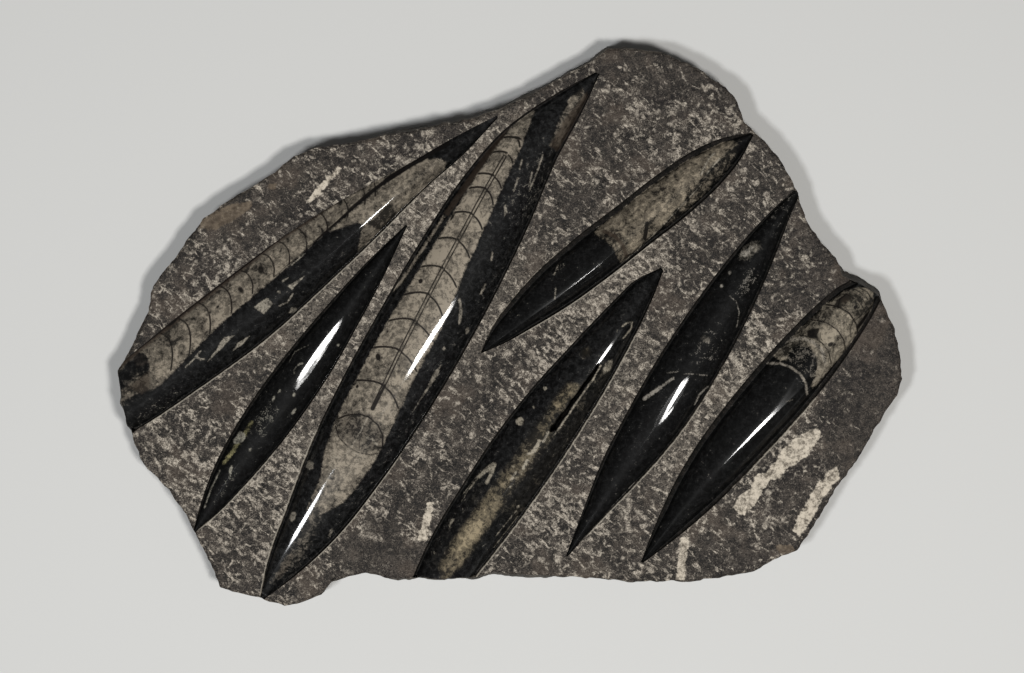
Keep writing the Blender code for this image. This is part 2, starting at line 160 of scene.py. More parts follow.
class Shell:
    """One carved shell: its axis on the face, and its cut lines, keel and height anywhere along it.  Each row
    holds a place along the axis, the distances to the right and left cut lines, how far left of the axis the
    keel runs, and its height.  `grooves` are the widths of the right and left groove."""

    def __init__(self, name, ends, grooves, keel, rows, flush_left=False):
        self.name = name
        self.start = np.array(ends[0])
        run = np.array(ends[1]) - self.start
        self.along = run / np.hypot(*run)
        self.left = np.array([-self.along[1], self.along[0]])
        self.keel_roundness = keel
        self.grooves = grooves
        self.flush_left = flush_left
        self.table = np.array(rows).T
        self.first, self.last = self.table[0][0], self.table[0][-1]

    def row(self, column, s):
        return smooth(self.table[0], self.table[column], np.clip(s, self.first, self.last))

    def body_edges(self, s):
        """Cut lines less the groove, whose width fades towards the tips."""
        right, left = self.row(1, s), self.row(2, s)
        narrow = np.clip((right + left) / 2 / GROOVE_FADE, 0, 1)
        return right - self.grooves[0] * narrow, left - self.grooves[1] * narrow

    def to_plate(self, s, t):
        """Axis coordinates, s along and t to the left, to plate coordinates."""
        return (self.start[0] + self.along[0] * s + self.left[0] * t,
                self.start[1] + self.along[1] * s + self.left[1] * t)

    def to_axis(self, x, y):
        dx, dy = x - self.start[0], y - self.start[1]
        return dx * self.along[0] + dy * self.along[1], dx * self.left[0] + dy * self.left[1]

    def inside(self, x, y):
        """How far inside the cut lines a point is, measured across them; negative outside."""
        s, t = self.to_axis(x, y)
        right, left = self.row(1, s), self.row(2, s)
        step = 0.5
        lean_right = (self.row(1, s + step) - self.row(1, s - step)) / (2 * step)
        lean_left = (self.row(2, s + step) - self.row(2, s - step)) / (2 * step)
        across = np.minimum((right + t) / np.hypot(1, lean_right), (left - t) / np.hypot(1, lean_left))
        return np.minimum(across, np.minimum(s - self.first, self.last - s) + 0.3)

    def height(self, s, t):
        """Height over the face level: the roof inside the body's edges, and outside them the groove's
        floor, which turns up to the face at the cut line."""
        right, left = self.row(1, s), self.row(2, s)
        body_right, body_left = self.body_edges(s)
        keel, crest = self.row(3, s), self.row(4, s)
        on_right = t < keel
        side = np.where(on_right, (keel - t) / (keel + body_right), (t - keel) / (body_left - keel))
        floor = np.where(on_right | (not self.flush_left), -GROOVE_DEPTH, 0.0)
        flank = np.where(on_right | (not self.flush_left), 0.38, 0.05)
        body = floor + (crest - floor) * roof(np.minimum(side, 1), self.keel_roundness, flank)
        gap = np.where(on_right, right + t, left - t)
        run = WALL_RUN * np.clip((right + left) / 2 / GROOVE_FADE, 0.1, 1)
        x, y = self.to_plate(s, t)
        wall = floor + (swell(x, y) - floor) * (1 - ease(gap, 0.0, run))
        return np.where(side <= 1, body, np.maximum(wall, floor))


def new_piece(name, points, faces, material, attributes=(), uv_maps=()):
    """Mesh object from arrays in millimetres: points (n, 3), faces (m, 4 or 3), attributes one value a
    point, and UV maps one pair a face corner."""
    mesh = bpy.data.meshes.new(name)
    sides = faces.shape[1]
    mesh.vertices.add(len(points))
    mesh.vertices.foreach_set("co", (points * MM).astype(np.float32).ravel())
    mesh.loops.add(faces.size)
    mesh.loops.foreach_set("vertex_index", faces.astype(np.int32).ravel())
    mesh.polygons.add(len(faces))
    mesh.polygons.foreach_set("loop_start", np.arange(0, faces.size, sides, dtype=np.int32))
    mesh.update(calc_edges=True)
    mesh.shade_smooth()
    for label, values in dict(attributes).items():
        layer = mesh.attributes.new(label, "FLOAT", "POINT")
        layer.data.foreach_set("value", values.astype(np.float32).ravel())
    for label, corners in dict(uv_maps).items():
        layer = mesh.uv_layers.new(name=label)
        layer.data.foreach_set("uv", corners.astype(np.float32).ravel())
    mesh.validate()
    obj = bpy.data.objects.new(name, mesh)
    bpy.context.scene.collection.objects.link(obj)
    mesh.materials.append(material)
    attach(obj, "root")
    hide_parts("fossil_slab")
    return obj


class Link:
    """A shader socket that Python's operators work on: each one adds a Math node to the same finish."""

    def __init__(self, finish, socket):
        self.finish = finish
        self.socket = socket

    def __add__(self, other):
        return self.finish.maths("ADD", self, other)

    def __sub__(self, other):
        return self.finish.maths("SUBTRACT", self, other)

    def __rsub__(self, other):
        return self.finish.maths("SUBTRACT", other, self)

    def __mul__(self, other):
        return self.finish.maths("MULTIPLY", self, other)

    __radd__ = __add__
    __rmul__ = __mul__


class Finish:
    """A procedural stone finish: the material, its shader, and the ways to add nodes to it."""

    def __init__(self, name, specular):
        self.material = bpy.data.materials.new(name)
        self.material.use_nodes = True
        self.tree = self.material.node_tree
        self.shader = self.tree.nodes["Principled BSDF"]
        self.shader.inputs["Specular IOR Level"].default_value = specular

    def add(self, kind, settings, sockets, output=0):
        """Any node: its settings first, then a value or a link for each named or numbered socket."""
        node = self.tree.nodes.new(kind)
        for key, value in settings.items():
            setattr(node, key, value)
        for key, value in sockets.items():
            self.put(node.inputs[key], value)
        return Link(self, node.outputs[output])

    def put(self, socket, value):
        if isinstance(value, Link):
            self.tree.links.new(value.socket, socket)
        else:
            socket.default_value = value

    def maths(self, operation, *values):
        return self.add("ShaderNodeMath", {"operation": operation}, dict(enumerate(values)))

    def attribute(self, name):
        return self.add("ShaderNodeAttribute", {"attribute_name": name}, {}, "Fac")

    def noise(self, place, scale, detail=2.0, rough=0.5, twist=0.0):
        """Noise from 0 to 1 at a place, with its scale in cycles a millimetre."""
        return self.add("ShaderNodeTexNoise", {}, {
            "Vector": place, "Scale": scale / MM, "Detail": detail, "Roughness": rough, "Distortion": twist})

    def rise(self, value, start, end):
        """0 at start and 1 at end, eased."""
        return self.add("ShaderNodeMapRange", {"interpolation_type": "SMOOTHSTEP"}, {
            "Value": value, "From Min": start, "From Max": end, "To Min": 0.0, "To Max": 1.0})

    def mix(self, share, first, second):
        """Colour that goes from the first to the second."""
        return self.add("ShaderNodeMix", {"data_type": "RGBA"}, {0: share, 6: first, 7: second}, 2)


def rgb(red, green, blue):
    """Shader colour from the three 0 to 255 screen values of a tone."""
    tone = np.array([red, green, blue]) / 255.0
    tone = np.where(tone <= 0.04045, tone / 12.92, ((tone + 0.055) / 1.055) ** 2.4)
    return (*[float(v) for v in tone], 1.0)


def polish(name, calcite, pale=(146, 139, 126), black=(6, 6, 6), warm=(50, 42, 35), haze=20, soft=1.0):
    """Polished limestone under a thin hard gloss: black stone, mottled by up to `haze`; mottled calcite
    where the attribute `calcite` is above 0, lighter or darker by `tone`, with borders `soft` times as
    wide, and `tone` also paints a sheen round a painted highlight on the upper right shell; clean pale
    fragments where `pale` is, and painted highlights where it marks them on the small left, upper right
    and cracked shells; thin dark lines and spots where `line` is; brown stain by `stain`; scattered
    flecks by `speck`, which on the cracked shell also paints glints of light; less gloss by `dull` and
    more by `gloss`; and the groove's tooled stone and pale cut line where `tooled` and `wall` are 1.
    Noise shakes every border, so it looks grown and not drawn."""
    finish = Finish(name, 0.08)
    place = finish.add("ShaderNodeTexCoord", {}, {}, "Object")
    along = finish.add("ShaderNodeUVMap", {"uv_map": "along"}, {})
    cloud = finish.noise(place, 0.11, 3.0, 0.55)
    mottle = finish.noise(place, 0.42, 4.0, 0.62, 0.5)
    grain = finish.noise(place, 1.7, 3.0, 0.6)
    streak = finish.add("ShaderNodeTexNoise", {}, {"Vector": along, "Scale": 1.8, "Detail": 3.0})
    shake = (mottle - 0.5) * 2.2 + (grain - 0.5) * 0.9

    stone = finish.mix(finish.rise(mottle * 0.65 + grain * 0.35, 0.4, 0.72), rgb(*black),
                       rgb(*[v + haze for v in black]))
    area = finish.rise(finish.attribute("calcite") + shake, -0.6 * soft, 0.6 * soft)
    vein = finish.maths("ABSOLUTE", finish.noise(place, 0.3, 5.0, 0.7, 1.6) - 0.5)
    value = ((cloud - 0.5) * 1.1 + (mottle - 0.5) * 1.7 + (grain - 0.5) * 0.7 + (streak - 0.5) * 0.3
             - finish.rise(vein, 0.035, 0.0) * 0.16 + finish.attribute("tone") * 0.15 + 0.5)
    low = finish.mix(finish.rise(value, 0.16, 0.5), rgb(*[v * 0.36 for v in calcite]), rgb(*calcite))
    spar = finish.mix(finish.rise(value, 0.5, 0.86), low, rgb(*[min(255, v * 1.5) for v in calcite]))
    stone = finish.mix(area, stone, spar)
    fleck = finish.rise(mottle * 0.55 + grain * 0.45 + finish.attribute("speck") * 0.12, 0.62, 0.68)
    stone = finish.mix(fleck * 0.55, stone, rgb(*[v * 0.8 for v in pale]))
    stain = finish.rise(finish.attribute("stain") + (mottle - 0.5) * 0.9, 0.2, 0.9)
    stone = finish.mix(stain * 0.75, stone, rgb(*warm))
    chalk = finish.mix(finish.rise((grain - 0.5) + (mottle - 0.5) * 1.4 + 0.5, 0.25, 0.72),
                       rgb(*[v * 0.5 for v in pale]),
                       rgb(*pale))
    stone = finish.mix(finish.rise(finish.attribute("pale") + (grain - 0.5) * 0.6 + (mottle - 0.5) * 0.9,
                                   -0.3, 0.4) * 0.82,
                       stone, chalk)
    line = finish.rise(finish.attribute("line") + (mottle - 0.5) * 0.6, -0.15, 0.25)
    stone = finish.mix(line * 0.95, stone, rgb(14, 12, 11))
    stone = finish.mix(finish.attribute("tooled"), stone,
                       finish.mix(finish.rise(mottle * 0.5 + grain * 0.5, 0.4, 0.72), rgb(6, 6, 5),
                                  rgb(37, 33, 30)))
    wall = finish.rise(finish.attribute("wall") + (grain - 0.5) * 0.8, 0.3, 0.9)
    stone = finish.mix(wall, stone,
                       finish.mix(finish.rise(mottle, 0.4, 0.64), rgb(52, 48, 43), rgb(140, 132, 120)))
    finish.put(finish.shader.inputs["Base Color"], stone)

    rough = finish.rise(finish.attribute("tooled") + finish.attribute("wall"), 0.2, 0.8)
    scuff = finish.rise(finish.attribute("dull") + (mottle - 0.5) * 0.4 + (streak - 0.5) * 0.9, 0.1, 0.8)
    finish.put(finish.shader.inputs["Roughness"], 0.44 + rough * 0.38 + scuff * 0.2)
    finish.shader.inputs["Coat Roughness"].default_value = 0.1
    finish.put(finish.shader.inputs["Coat Weight"],
               (1.0 - rough) * (1.0 - scuff * 0.97) * (finish.attribute("gloss") * 0.2 + 0.14))
    bump = finish.add("ShaderNodeBump", {}, {
        "Strength": 0.5, "Distance": 0.12 * MM, "Height": (grain + mottle) * (rough + scuff * 0.25)})
    finish.put(finish.shader.inputs["Normal"], bump)
    return finish.material


def away(points, s, t):
    """Distance from a bent line: the least over its straight runs."""
    best = np.full(s.shape, 1e3)
    for (s0, t0), (s1, t1) in zip(points, points[1:]):
        run = (s1 - s0, t1 - t0)
        share = np.clip(((s - s0) * run[0] + (t - t0) * run[1]) / max(run[0]**2 + run[1]**2, 1e-9), 0, 1)
        best = np.minimum(best, np.hypot(s - s0 - share * run[0], t - t0 - share * run[1]))
    return best


def patch(outline, s, t):
    """Signed distance to a closed outline, positive inside: a point is inside where a line from it along t
    meets the outline an odd number of times."""
    crossed = np.zeros(s.shape, bool)
    loop = list(outline) + [outline[0]]
    for (s0, t0), (s1, t1) in zip(loop, loop[1:]):
        if s0 != s1:
            hit = ((s0 > s) != (s1 > s)) & (t < t0 + (s - s0) * (t1 - t0) / (s1 - s0))
            crossed ^= hit
    return np.where(crossed, 1, -1) * away(loop, s, t)


def band(lower, upper, s, t):
    """Signed distance to the strip between two (s, t) lines, positive inside."""
    low = np.interp(s, *np.array(lower, float).T)
    high = np.interp(s, *np.array(upper, float).T)
    first = max(lower[0][0], upper[0][0])
    last = min(lower[-1][0], upper[-1][0])
    return np.minimum(np.minimum(t - low, high - t), np.minimum(s - first, last - s))


def oval(centre, length, width, turn, s, t):
    """About the signed distance to an oval, turned from the axis by an angle in
    degrees, positive inside."""
    c, n = math.cos(math.radians(turn)), math.sin(math.radians(turn))
    ds, dt = s - centre[0], t - centre[1]
    u, v = (ds * c + dt * n) / (length / 2), (dt * c - ds * n) / (width / 2)
    return (1 - np.hypot(u, v)) * min(length, width) / 2


def strokes(lines, s, t):
    """Highest of (half width less distance) over (half width, points) rows, positive on a stroke."""
    return np.max([half - away(points, s, t) for half, points in lines], axis=0)


def spindle(shell, material, marks, flats=(), rims=(), along_step=0.6, across_step=0.36, crack=None):
    """The skin of one shell, closed below.  A row of points runs from the right cut line over the keel to
    the left one; the rows run from end to end, and stop at the plate's edge where the shell does.  `flats`
    are the narrow flats that the polishing pad leaves on the keel, where the gloss is best: their two ends
    as (s, t), depth, and slope across.  `rims` are pale cut lines: the side, and where they begin and end.
    `crack` is the outline of an open crack."""
    widest = float(np.max(shell.table[1] + shell.table[2]))
    w = np.linspace(-1, 1, int(widest / across_step))
    side = 0.62 * w + 0.38 * np.sin(w * math.pi / 2)
    share = np.array(GROOVE_SHARES)

    def across(s):
        """Distance to the left of the axis of every column at place s: groove, body, groove."""
        right, left = shell.row(1, s), shell.row(2, s)
        body_right, body_left = shell.body_edges(s)
        keel = shell.row(3, s)
        columns = len(share)
        groove_right = -right[:, :columns] + share * (right - body_right)[:, :columns]
        groove_left = left[:, -columns:] - share[::-1] * (left - body_left)[:, -columns:]
        body = slice(columns, -columns)
        middle = np.where(side < 0, keel[:, body] + side * (keel + body_right)[:, body],
                          keel[:, body] + side * (body_left - keel)[:, body])
        return np.concatenate([groove_right, middle, groove_left], axis=1)

    count = len(w) + 2 * len(share)
    probe = np.repeat(np.arange(shell.first, shell.last + 0.01, 0.2)[:, None], count, axis=1)
    x, y = shell.to_plate(probe, across(probe))
    room = edge_distance(np.arctan2(y, x)) - np.hypot(x, y)
    free = room > 0
    low_end = probe[np.argmax(free, axis=0), 0]
    high_end = probe[len(probe) - 1 - np.argmax(free[::-1], axis=0), 0]
    rows = int((shell.last - shell.first) / along_step)
    s = low_end + (high_end - low_end) * np.linspace(0, 1, rows)[:, None]
    t = across(s)
    rise = shell.height(s, t)
    x, y = shell.to_plate(s, t)
    body_right, body_left = shell.body_edges(s)
    on_body = (t > -body_right - 1e-6) & (t < body_left + 1e-6)
    lift = np.clip(rise / 3, 0, 1) * on_body
    rise = rise + lift * (0.05 * ground(s, t, 13.0, 21) + 0.02 * ground(s, t, 4.5, 22))
    gloss = np.zeros(s.shape)
    for (s0, t0), (s1, t1), depth, slope in flats:
        way = (s - s0) / (s1 - s0)
        middle = t0 + way * (t1 - t0)
        crest = shell.height(s, middle)
        bulge = 4 * way * (1 - way)
        cut = crest - depth * bulge + FLAT_CLEARANCE * (1 - bulge) + slope * (t - middle)
        gap = rise - cut
        inside = (way > 0) & (way < 1)
        rise = np.where(inside, cut + 0.5 * (gap - np.sqrt(gap * gap + FLAT_BLEND)), rise)
        gloss = np.maximum(gloss, ease(way, -0.05, 0.25) * (1 - ease(way, 0.75, 1.05)))
    if crack is not None:
        rise = rise - CRACK_DEPTH * ease(patch(crack, s, t) + 0.3 * ground(s, t, 1.6, 23), -0.3, 0.4)
    rise[:, 0] -= CUT_LINE_LAP
    rise[:, -1] -= CUT_LINE_LAP

    # Hidden underside: a skirt below the pecked face, and a floor.
    sx, sy = shell.to_plate(s[:, [0, -1]], t[:, [0, -1]] + np.array([-SKIRT, SKIRT]))
    pull = np.minimum(1, (edge_distance(np.arctan2(sy, sx)) - SKIRT_INSET) / np.hypot(sx, sy))
    sx, sy = sx * pull, sy * pull
    grid = [np.stack([x, y, FACE_LEVEL + rise], axis=-1)]
    for column, depth in ((1, SKIRT_TOP), (1, SKIRT_FOOT), (0, SKIRT_FOOT), (0, SKIRT_TOP)):
        level = np.full(rows, FACE_LEVEL + depth)
        grid.append(np.stack([sx[:, column], sy[:, column], level], axis=-1)[:, None])
    ring = np.concatenate(grid, axis=1)
    columns = ring.shape[1]
    poles = [ring[0].mean(axis=0), ring[-1].mean(axis=0)]
    points = np.concatenate([ring.reshape(-1, 3), np.array(poles)])
    index = np.arange(rows * columns).reshape(rows, columns)
    following = np.roll(index, -1, axis=1)
    quads = np.stack([index[:-1], following[:-1], following[1:], index[1:]], axis=-1).reshape(-1, 4)
    first_cap = np.stack([following[0], index[0], np.full(columns, rows * columns)], axis=-1)
    last_cap = np.stack([index[-1], following[-1], np.full(columns, rows * columns + 1)], axis=-1)
    # Two triangles a quad, so that the caps fit the same array.
    faces = np.concatenate([quads[:, [0, 1, 2]], quads[:, [0, 2, 3]], first_cap, last_cap])
    faces = faces[:, ::-1] if facing_down(points, faces) else faces

    def spread(values, fill):
        full = np.full((rows, columns), float(fill))
        full[:, :count] = values
        return np.append(full.ravel(), [fill, fill])

    groove = 1.0 - on_body.astype(float)
    gap_right, gap_left = shell.row(1, s) + t, shell.row(2, s) - t
    wall = np.zeros(s.shape)
    for edge, begin, end in rims:
        gap = gap_right if edge < 0 else gap_left
        pale_line = (1 - ease(gap, 0.1, 0.6)) * ease(s, begin - 6, begin) * (1 - ease(s, end, end + 6))
        wall = np.maximum(wall, pale_line)
    crest_line = np.exp(-((t - shell.row(3, s)) / (CREST_SHARE * widest)) ** 2)
    if crack is not None:
        groove = np.maximum(groove, ease(patch(crack, s, t), -0.35, 0.1))
    attributes = {"tooled": spread(groove, 1.0), "wall": spread(wall, 0.0), "gloss": spread(gloss, 0.0)}
    for label, fill in (("calcite", -9), ("tone", 0), ("pale", -9), ("line", -9), ("stain", 0),
                        ("speck", 0), ("dull", 0)):
        values = marks[label](s, t) if label in marks else np.full(s.shape, float(fill))
        if label == "dull":
            values = np.maximum(values, 1.1 * crest_line * (1 - gloss))
        attributes[label] = spread(values, fill)
    # Texture maps: "along" for grain that runs with the shell, and an even one over the whole skin.
    s_all, t_all = spread(s, 0), spread(t, 0)
    grain = np.stack([s_all / 16.0, t_all / 2.5], axis=-1)[faces]
    u = np.append(np.tile(np.arange(columns) / columns, rows), [0.5, 0.5])
    v = np.append(np.repeat(np.arange(rows) / (rows - 1), columns), [0.0, 1.0])
    even = np.stack([u, v], axis=-1)[faces]
    wraps = even[:, :, 0].max(axis=1) - even[:, :, 0].min(axis=1) > 0.6
    even[:, :, 0] = np.where(wraps[:, None] & (even[:, :, 0] < 0.1), 1.0, even[:, :, 0])
    return new_piece(shell.name, points, faces, material, attributes, {"along": grain, "OFBake": even})


def facing_down(points, faces):
    """Whether the faces point inwards: the signed volume of the closed skin is below 0."""
    a, b, c = points[faces[:, 0]], points[faces[:, 1]], points[faces[:, 2]]
    return float(np.sum(a * np.cross(b, c))) < 0


# --------------------------------------------------------------------------------------------------
# Far left shell: black limestone with a long pale half of chambered calcite on its left.  That side runs
# into the bed without a groove; the other was cut free with one, ground to a spindle and polished.
far_left = Shell(
    "far_left_shell", ends=((-181.3, -45.4), (-5.1, 95.0)), grooves=(1.2, 0.0), keel=0.25,
    flush_left=True, rows=[
        (-6.0, 7.5, 11.0, -1.0, 5.0), (15.0, 10.3, 18.0, -1.0, 5.8), (40.0, 12.2, 19.5, -1.2, 6.6),
        (80.0, 13.8, 19.2, -2.0, 7.4), (120.0, 11.2, 17.6, -2.0, 7.9), (150.0, 8.6, 14.0, -0.3, 7.6),
        (166.0, 6.7, 11.2, 0.5, 7.1), (180.0, 5.2, 8.6, 1.0, 5.6), (205.0, 3.6, 4.8, 0.8, 2.4),
        (225.4, 0.5, 0.7, 0.1, -0.6)])
FAR_LEFT_LOW = [(10, 5.2), (15, 4), (20, 3), (24, 0.2), (30, 0), (38, 1), (50, 2.5), (60, 3.7), (70, 4.8),
                (90, 5.3), (110, 6.2), (130, 7.3), (150, 9), (170, 9.6), (185, 7.5)]
FAR_LEFT_HIGH = [(10, 15), (20, 18.6), (110, 18), (120, 17), (140, 15), (160, 12.5), (175, 11), (185, 8.5)]
FAR_LEFT_FRAGMENTS = [
    [(52, -5.3), (60, -3.2), (65, -1.2), (69.5, -3.6), (60, -4.7)],
    [(64, -8.6), (69, -7.1), (75, -8), (70, -8.9)], [(84.5, 1), (92, 0.6), (92.3, -3.4), (86, -4.4)],
    [(102.5, -1), (111.5, -2.4), (103, -3.8)], [(95, -11), (97.5, -9.6), (99.2, -11.2), (97.6, -13)]]
FAR_LEFT_DARK = [(8, 12), (14, 15), (20, 17), (24, 17.8), (30, 18), (32.3, 15.5), (31, 10.5), (28.6, 7.4),
                 (22, 9.5), (14, 9)]
FAR_LEFT_SHADE = [(149, -2), (156, -1.2), (163, -0.6), (162.5, -3), (161, -7), (151, -7.5), (150, -4)]
far_left_marks = dict(
    calcite=lambda s, t: np.maximum.reduce([
        np.minimum(band(FAR_LEFT_LOW, FAR_LEFT_HIGH, s, t), -patch(FAR_LEFT_DARK, s, t)),
        0.1 * patch([(10, 4), (16, 13), (24, 13), (29, 9), (25, 2), (16, 2)], s, t) - 0.55,
        patch([(133, 6.4), (140, 4), (145, 2), (146.5, 0), (143, -4), (137, -8.5), (150, -7.5),
               (170, -5.6), (190, -4.6), (194, -2), (193, 1), (188, 5), (180, 6.6), (165, 7.6),
               (148, 7.4)], s, t)]),
    tone=lambda s, t: (
        1.3 * ease(-t, -np.interp(s, [20, 60, 130], [9, 12, 13]), -np.interp(s, [20, 60, 130], [3, 6, 8]))
        * ease(s, 28, 36) * (1 - ease(s, 118, 134))
        - 0.7 * ease(t, 13, 18) - 0.9 * (1 - ease(s, 26, 33)) + 0.35 * ease(s, 146, 160) * ease(t, -1, 3)
        - 3.2 * ease(patch(FAR_LEFT_SHADE, s, t), -0.9, 0.9)
        + 0.5 * ease(s, 140, 150) * ease(-t, -7, -4)),
    pale=lambda s, t: np.maximum(
        np.max([patch(outline, s, t) for outline in FAR_LEFT_FRAGMENTS], axis=0),
        strokes([(0.3, [(43, -1), (48, -0.6), (53, 0.4)]), (0.45, [(50, -0.6), (50.6, -2.6), (52, -3.4)]),
                 (0.35, [(94, -5.8), (98, -6.9), (102, -5.4)]), (0.5, [(97.5, -0.5), (97.9, -1.2)]),
                 (0.3, [(102, 2), (105, 1.6)]), (0.3, [(110, 5.3), (118, 5.6)])], s, t)),
    line=lambda s, t: np.maximum.reduce([
        np.minimum(strokes([(0.42, [(c - 1.5 * max(0, (q - 14) / 4.6)**2 - 8 * max(0, (14 - q) / 12)**1.7, q)
                                    for q in (18.6, 17, 15.5, 14, 12, 10, 8, 6, 4, 2)])
                            for c in (44.8, 55.4, 67, 79.4)], s, t),
                   t - np.interp(s, *np.array(FAR_LEFT_LOW).T)),
        strokes([(0.4, [(c - 1.6, 18), (c - 0.3, 16), (c, 14), (c - 0.3, 11.6), (c - 1.4, 9), (c - 3.8, 6.2)])
                 for c in (91.5, 104, 113, 123, 135, 147, 157, 163)], s, t),
        strokes([(0.35, [(96, 15), (97, 12), (98.5, 9)]), (0.35, [(20, 19.3), (60, 19.2), (120, 18.2)]),
                 (0.25, [(100, 6.1), (130, 7.2)]), (0.5, [(126, 7.2), (138, 7.8), (150, 8.7)]),
                 (0.85, [(146, 8.5), (158, 9), (170, 8.8)]), (1.2, [(168, 8.8), (180, 7.6), (200, 4.6)])],
                s, t),
        oval((50.5, 19), 6, 1.6, 0, s, t), 0.4 * oval((84.5, 11), 3, 5, 0, s, t) - 0.1,
        oval((71.5, 11.5), 2, 1.2, 0, s, t),
        0.4 * oval((97.5, 12.6), 5, 3.4, 60, s, t) - 0.1, oval((175, 11.6), 5, 1.4, 10, s, t)]),
    stain=lambda s, t: np.maximum.reduce([
        0.4 * ease(patch([(24, 12), (26, 17.8), (30, 18), (32.3, 15.5), (31, 10.5), (28, 11)], s, t), -1, 1),
        0.6 * ease(patch([(16, 9), (29, 9), (28, 5), (24, 0.5), (19, 1)], s, t), -1, 1.5),
        0.8 * ease(t, np.interp(s, [0, 110, 140, 175], [16, 16, 13.5, 12]),
                   np.interp(s, [0, 110, 140, 175], [19, 18, 16, 14]))]),
    speck=lambda s, t: ease(-t, 3, 5) * (1 - ease(s, 28, 40)) * 0.5,
    dull=lambda s, t: ease(t, 6, 12) * 0.7)
spindle(far_left, polish("far_left_stone", (87, 81, 72), haze=28), far_left_marks,
        flats=[((142, -1.9), (171, 0.9), 0.05, 0.2)], rims=[(-1, 10, 190)])

# --------------------------------------------------------------------------------------------------
# Small left shell: a narrow one of black limestone, with a few white flecks of calcite.  It was ground to a
# spindle between two tooled grooves and polished.
small_left = Shell(
    "small_left_shell", ends=((-143.7, -94.8), (-46.7, 45.2)), grooves=(1.0, 1.2), keel=0.7, rows=[
        (0.0, 0.5, 0.5, 0.0, -0.6), (12.0, 3.9, 4.8, 0.3, 1.8), (30.0, 7.0, 9.5, 0.8, 3.9),
        (50.0, 9.3, 11.9, 0.8, 5.2), (70.0, 10.3, 12.5, 0.6, 6.0), (95.0, 10.0, 11.4, 0.6, 6.4),
        (120.0, 7.8, 9.0, 0.4, 5.7), (145.0, 4.8, 5.6, 0.2, 3.5), (170.4, 0.5, 0.5, 0.0, -0.6)])
small_left_marks = dict(
    pale=lambda s, t: np.maximum.reduce([
        # The first stroke, a thin pale streak low on the left flank, is a painted highlight.
        strokes([(0.3, [(12, 2.3), (20, 4.6), (30, 6.2)]),
                 (0.3, [(86, 3), (87, 4.2), (89, 4.4), (91, 3.8), (92, 2.8)]),
                 (0.15, [(89, 8.4), (94, 9), (98, 6.8), (100, 5.4)])], s, t),
        patch([(44, 8.8), (50, 9.2), (50.5, 6.5), (49, 4.8), (46.5, 5), (44, 7)], s, t),
        oval((33, 1.9), 4, 1.5, 25, s, t), oval((46, 0.1), 1.4, 1.2, 0, s, t),
        oval((71, 4.5), 2.6, 1.3, 20, s, t), oval((75.5, 4.3), 1.6, 1.0, 0, s, t),
        oval((78, -2), 1.8, 1.2, 30, s, t),
        oval((71.5, -6.3), 2.6, 1.1, 0, s, t), oval((108, -5.7), 1.3, 1.0, 0, s, t)]),
    calcite=lambda s, t: strokes([(0.8, [(34, 6.5), (45, 6.3), (56, 6.6)])], s, t),
    speck=lambda s, t: 0.8 * np.maximum(ease(oval((61, 2), 24, 13, 0, s, t), 0, 4),
                                        0.8 * ease(oval((25, 0), 30, 6, 0, s, t), 0, 2)),
    dull=lambda s, t: (0.6 * ease(np.abs(t - np.interp(s, [78, 123], [1.2, -0.7])), 0.9, 2.0)
                       + 0.5 * ease(s, 104, 116) * (0.6 + ground(s / 13, t / 0.8, 1.0, 62))))
spindle(small_left, polish("small_left_stone", (90, 86, 62), (142, 138, 126)), small_left_marks,
        flats=[((80, 1.0), (122, -0.7), 0.28, 0.19)], rims=[(-1, 4, 50)])

# --------------------------------------------------------------------------------------------------
# Great shell: the longest and broadest, of grey calcite in black stone.  Grinding laid open its chambers,
# and the tube that runs through them, along its left half.
great = Shell(
    "great_shell", ends=((-114.4, -127.8), (43.0, 117.5)), grooves=(1.2, 1.2), keel=0.6, rows=[
        (2.0, 0.6, 0.6, 0.0, -0.4), (20.0, 7.4, 7.4, 1.6, 3.2), (45.0, 13.8, 13.0, 2.8, 6.3),
        (75.0, 17.0, 19.3, 3.2, 8.6), (105.0, 18.1, 23.1, 2.4, 9.6), (140.0, 17.5, 25.6, 1.0, 10.0),
        (180.0, 14.7, 27.2, 1.5, 9.6), (215.0, 10.4, 26.6, 3.5, 8.4), (245.0, 5.2, 22.0, 4.5, 6.2),
        (270.0, 3.2, 11.5, 2.0, 3.2), (288.0, 0.6, 1.6, 0.2, -0.4)])
GREAT_LOW = [(44, 0.5), (50, -2), (55, -5), (60, -7.5), (66, -8.8), (80, -9.5), (90, -9.3), (100, -7.8),
             (110, -6.6), (120, -5.2), (130, -4), (140, -3.4), (150, -2.6), (160, -1.4), (170, 0.5),
             (180, 2.8), (190, 4), (200, 5.6), (210, 7), (220, 8.5), (230, 10), (240, 11.5), (250, 13.5),
             (259, 15.8)]
GREAT_HIGH = [(44, 2), (50, 4.6), (60, 6.2), (66, 7.5), (70, 9.5), (75, 11.4), (80, 13), (90, 15.3),
              (100, 16.6), (110, 17.4), (120, 18.2), (130, 19.1), (150, 20), (170, 20.4), (190, 21),
              (220, 21.7), (240, 21), (250, 19.5), (259, 16)]
GREAT_TUBE = [(104, 4), (115, 5.3), (130, 7.2), (148, 9), (161, 10.3), (175, 11.6), (190, 12.7),
              (203, 13.7), (216, 14.6), (233, 15.5)]
# Where each chamber wall meets the tube, and how far its two ends hang back above and below it.
GREAT_WALLS = [
    (115.6, 5.5, 4.8), (133, 6, 3.5), (148, 7, 3), (161.5, 6.5, 5.5), (175, 5, 3.5), (189.5, 4.5, 3.5),
    (203, 4, 3), (216, 4, 4), (223, 3, 2.5), (235, 3, 2), (243, 2.5, 2)]


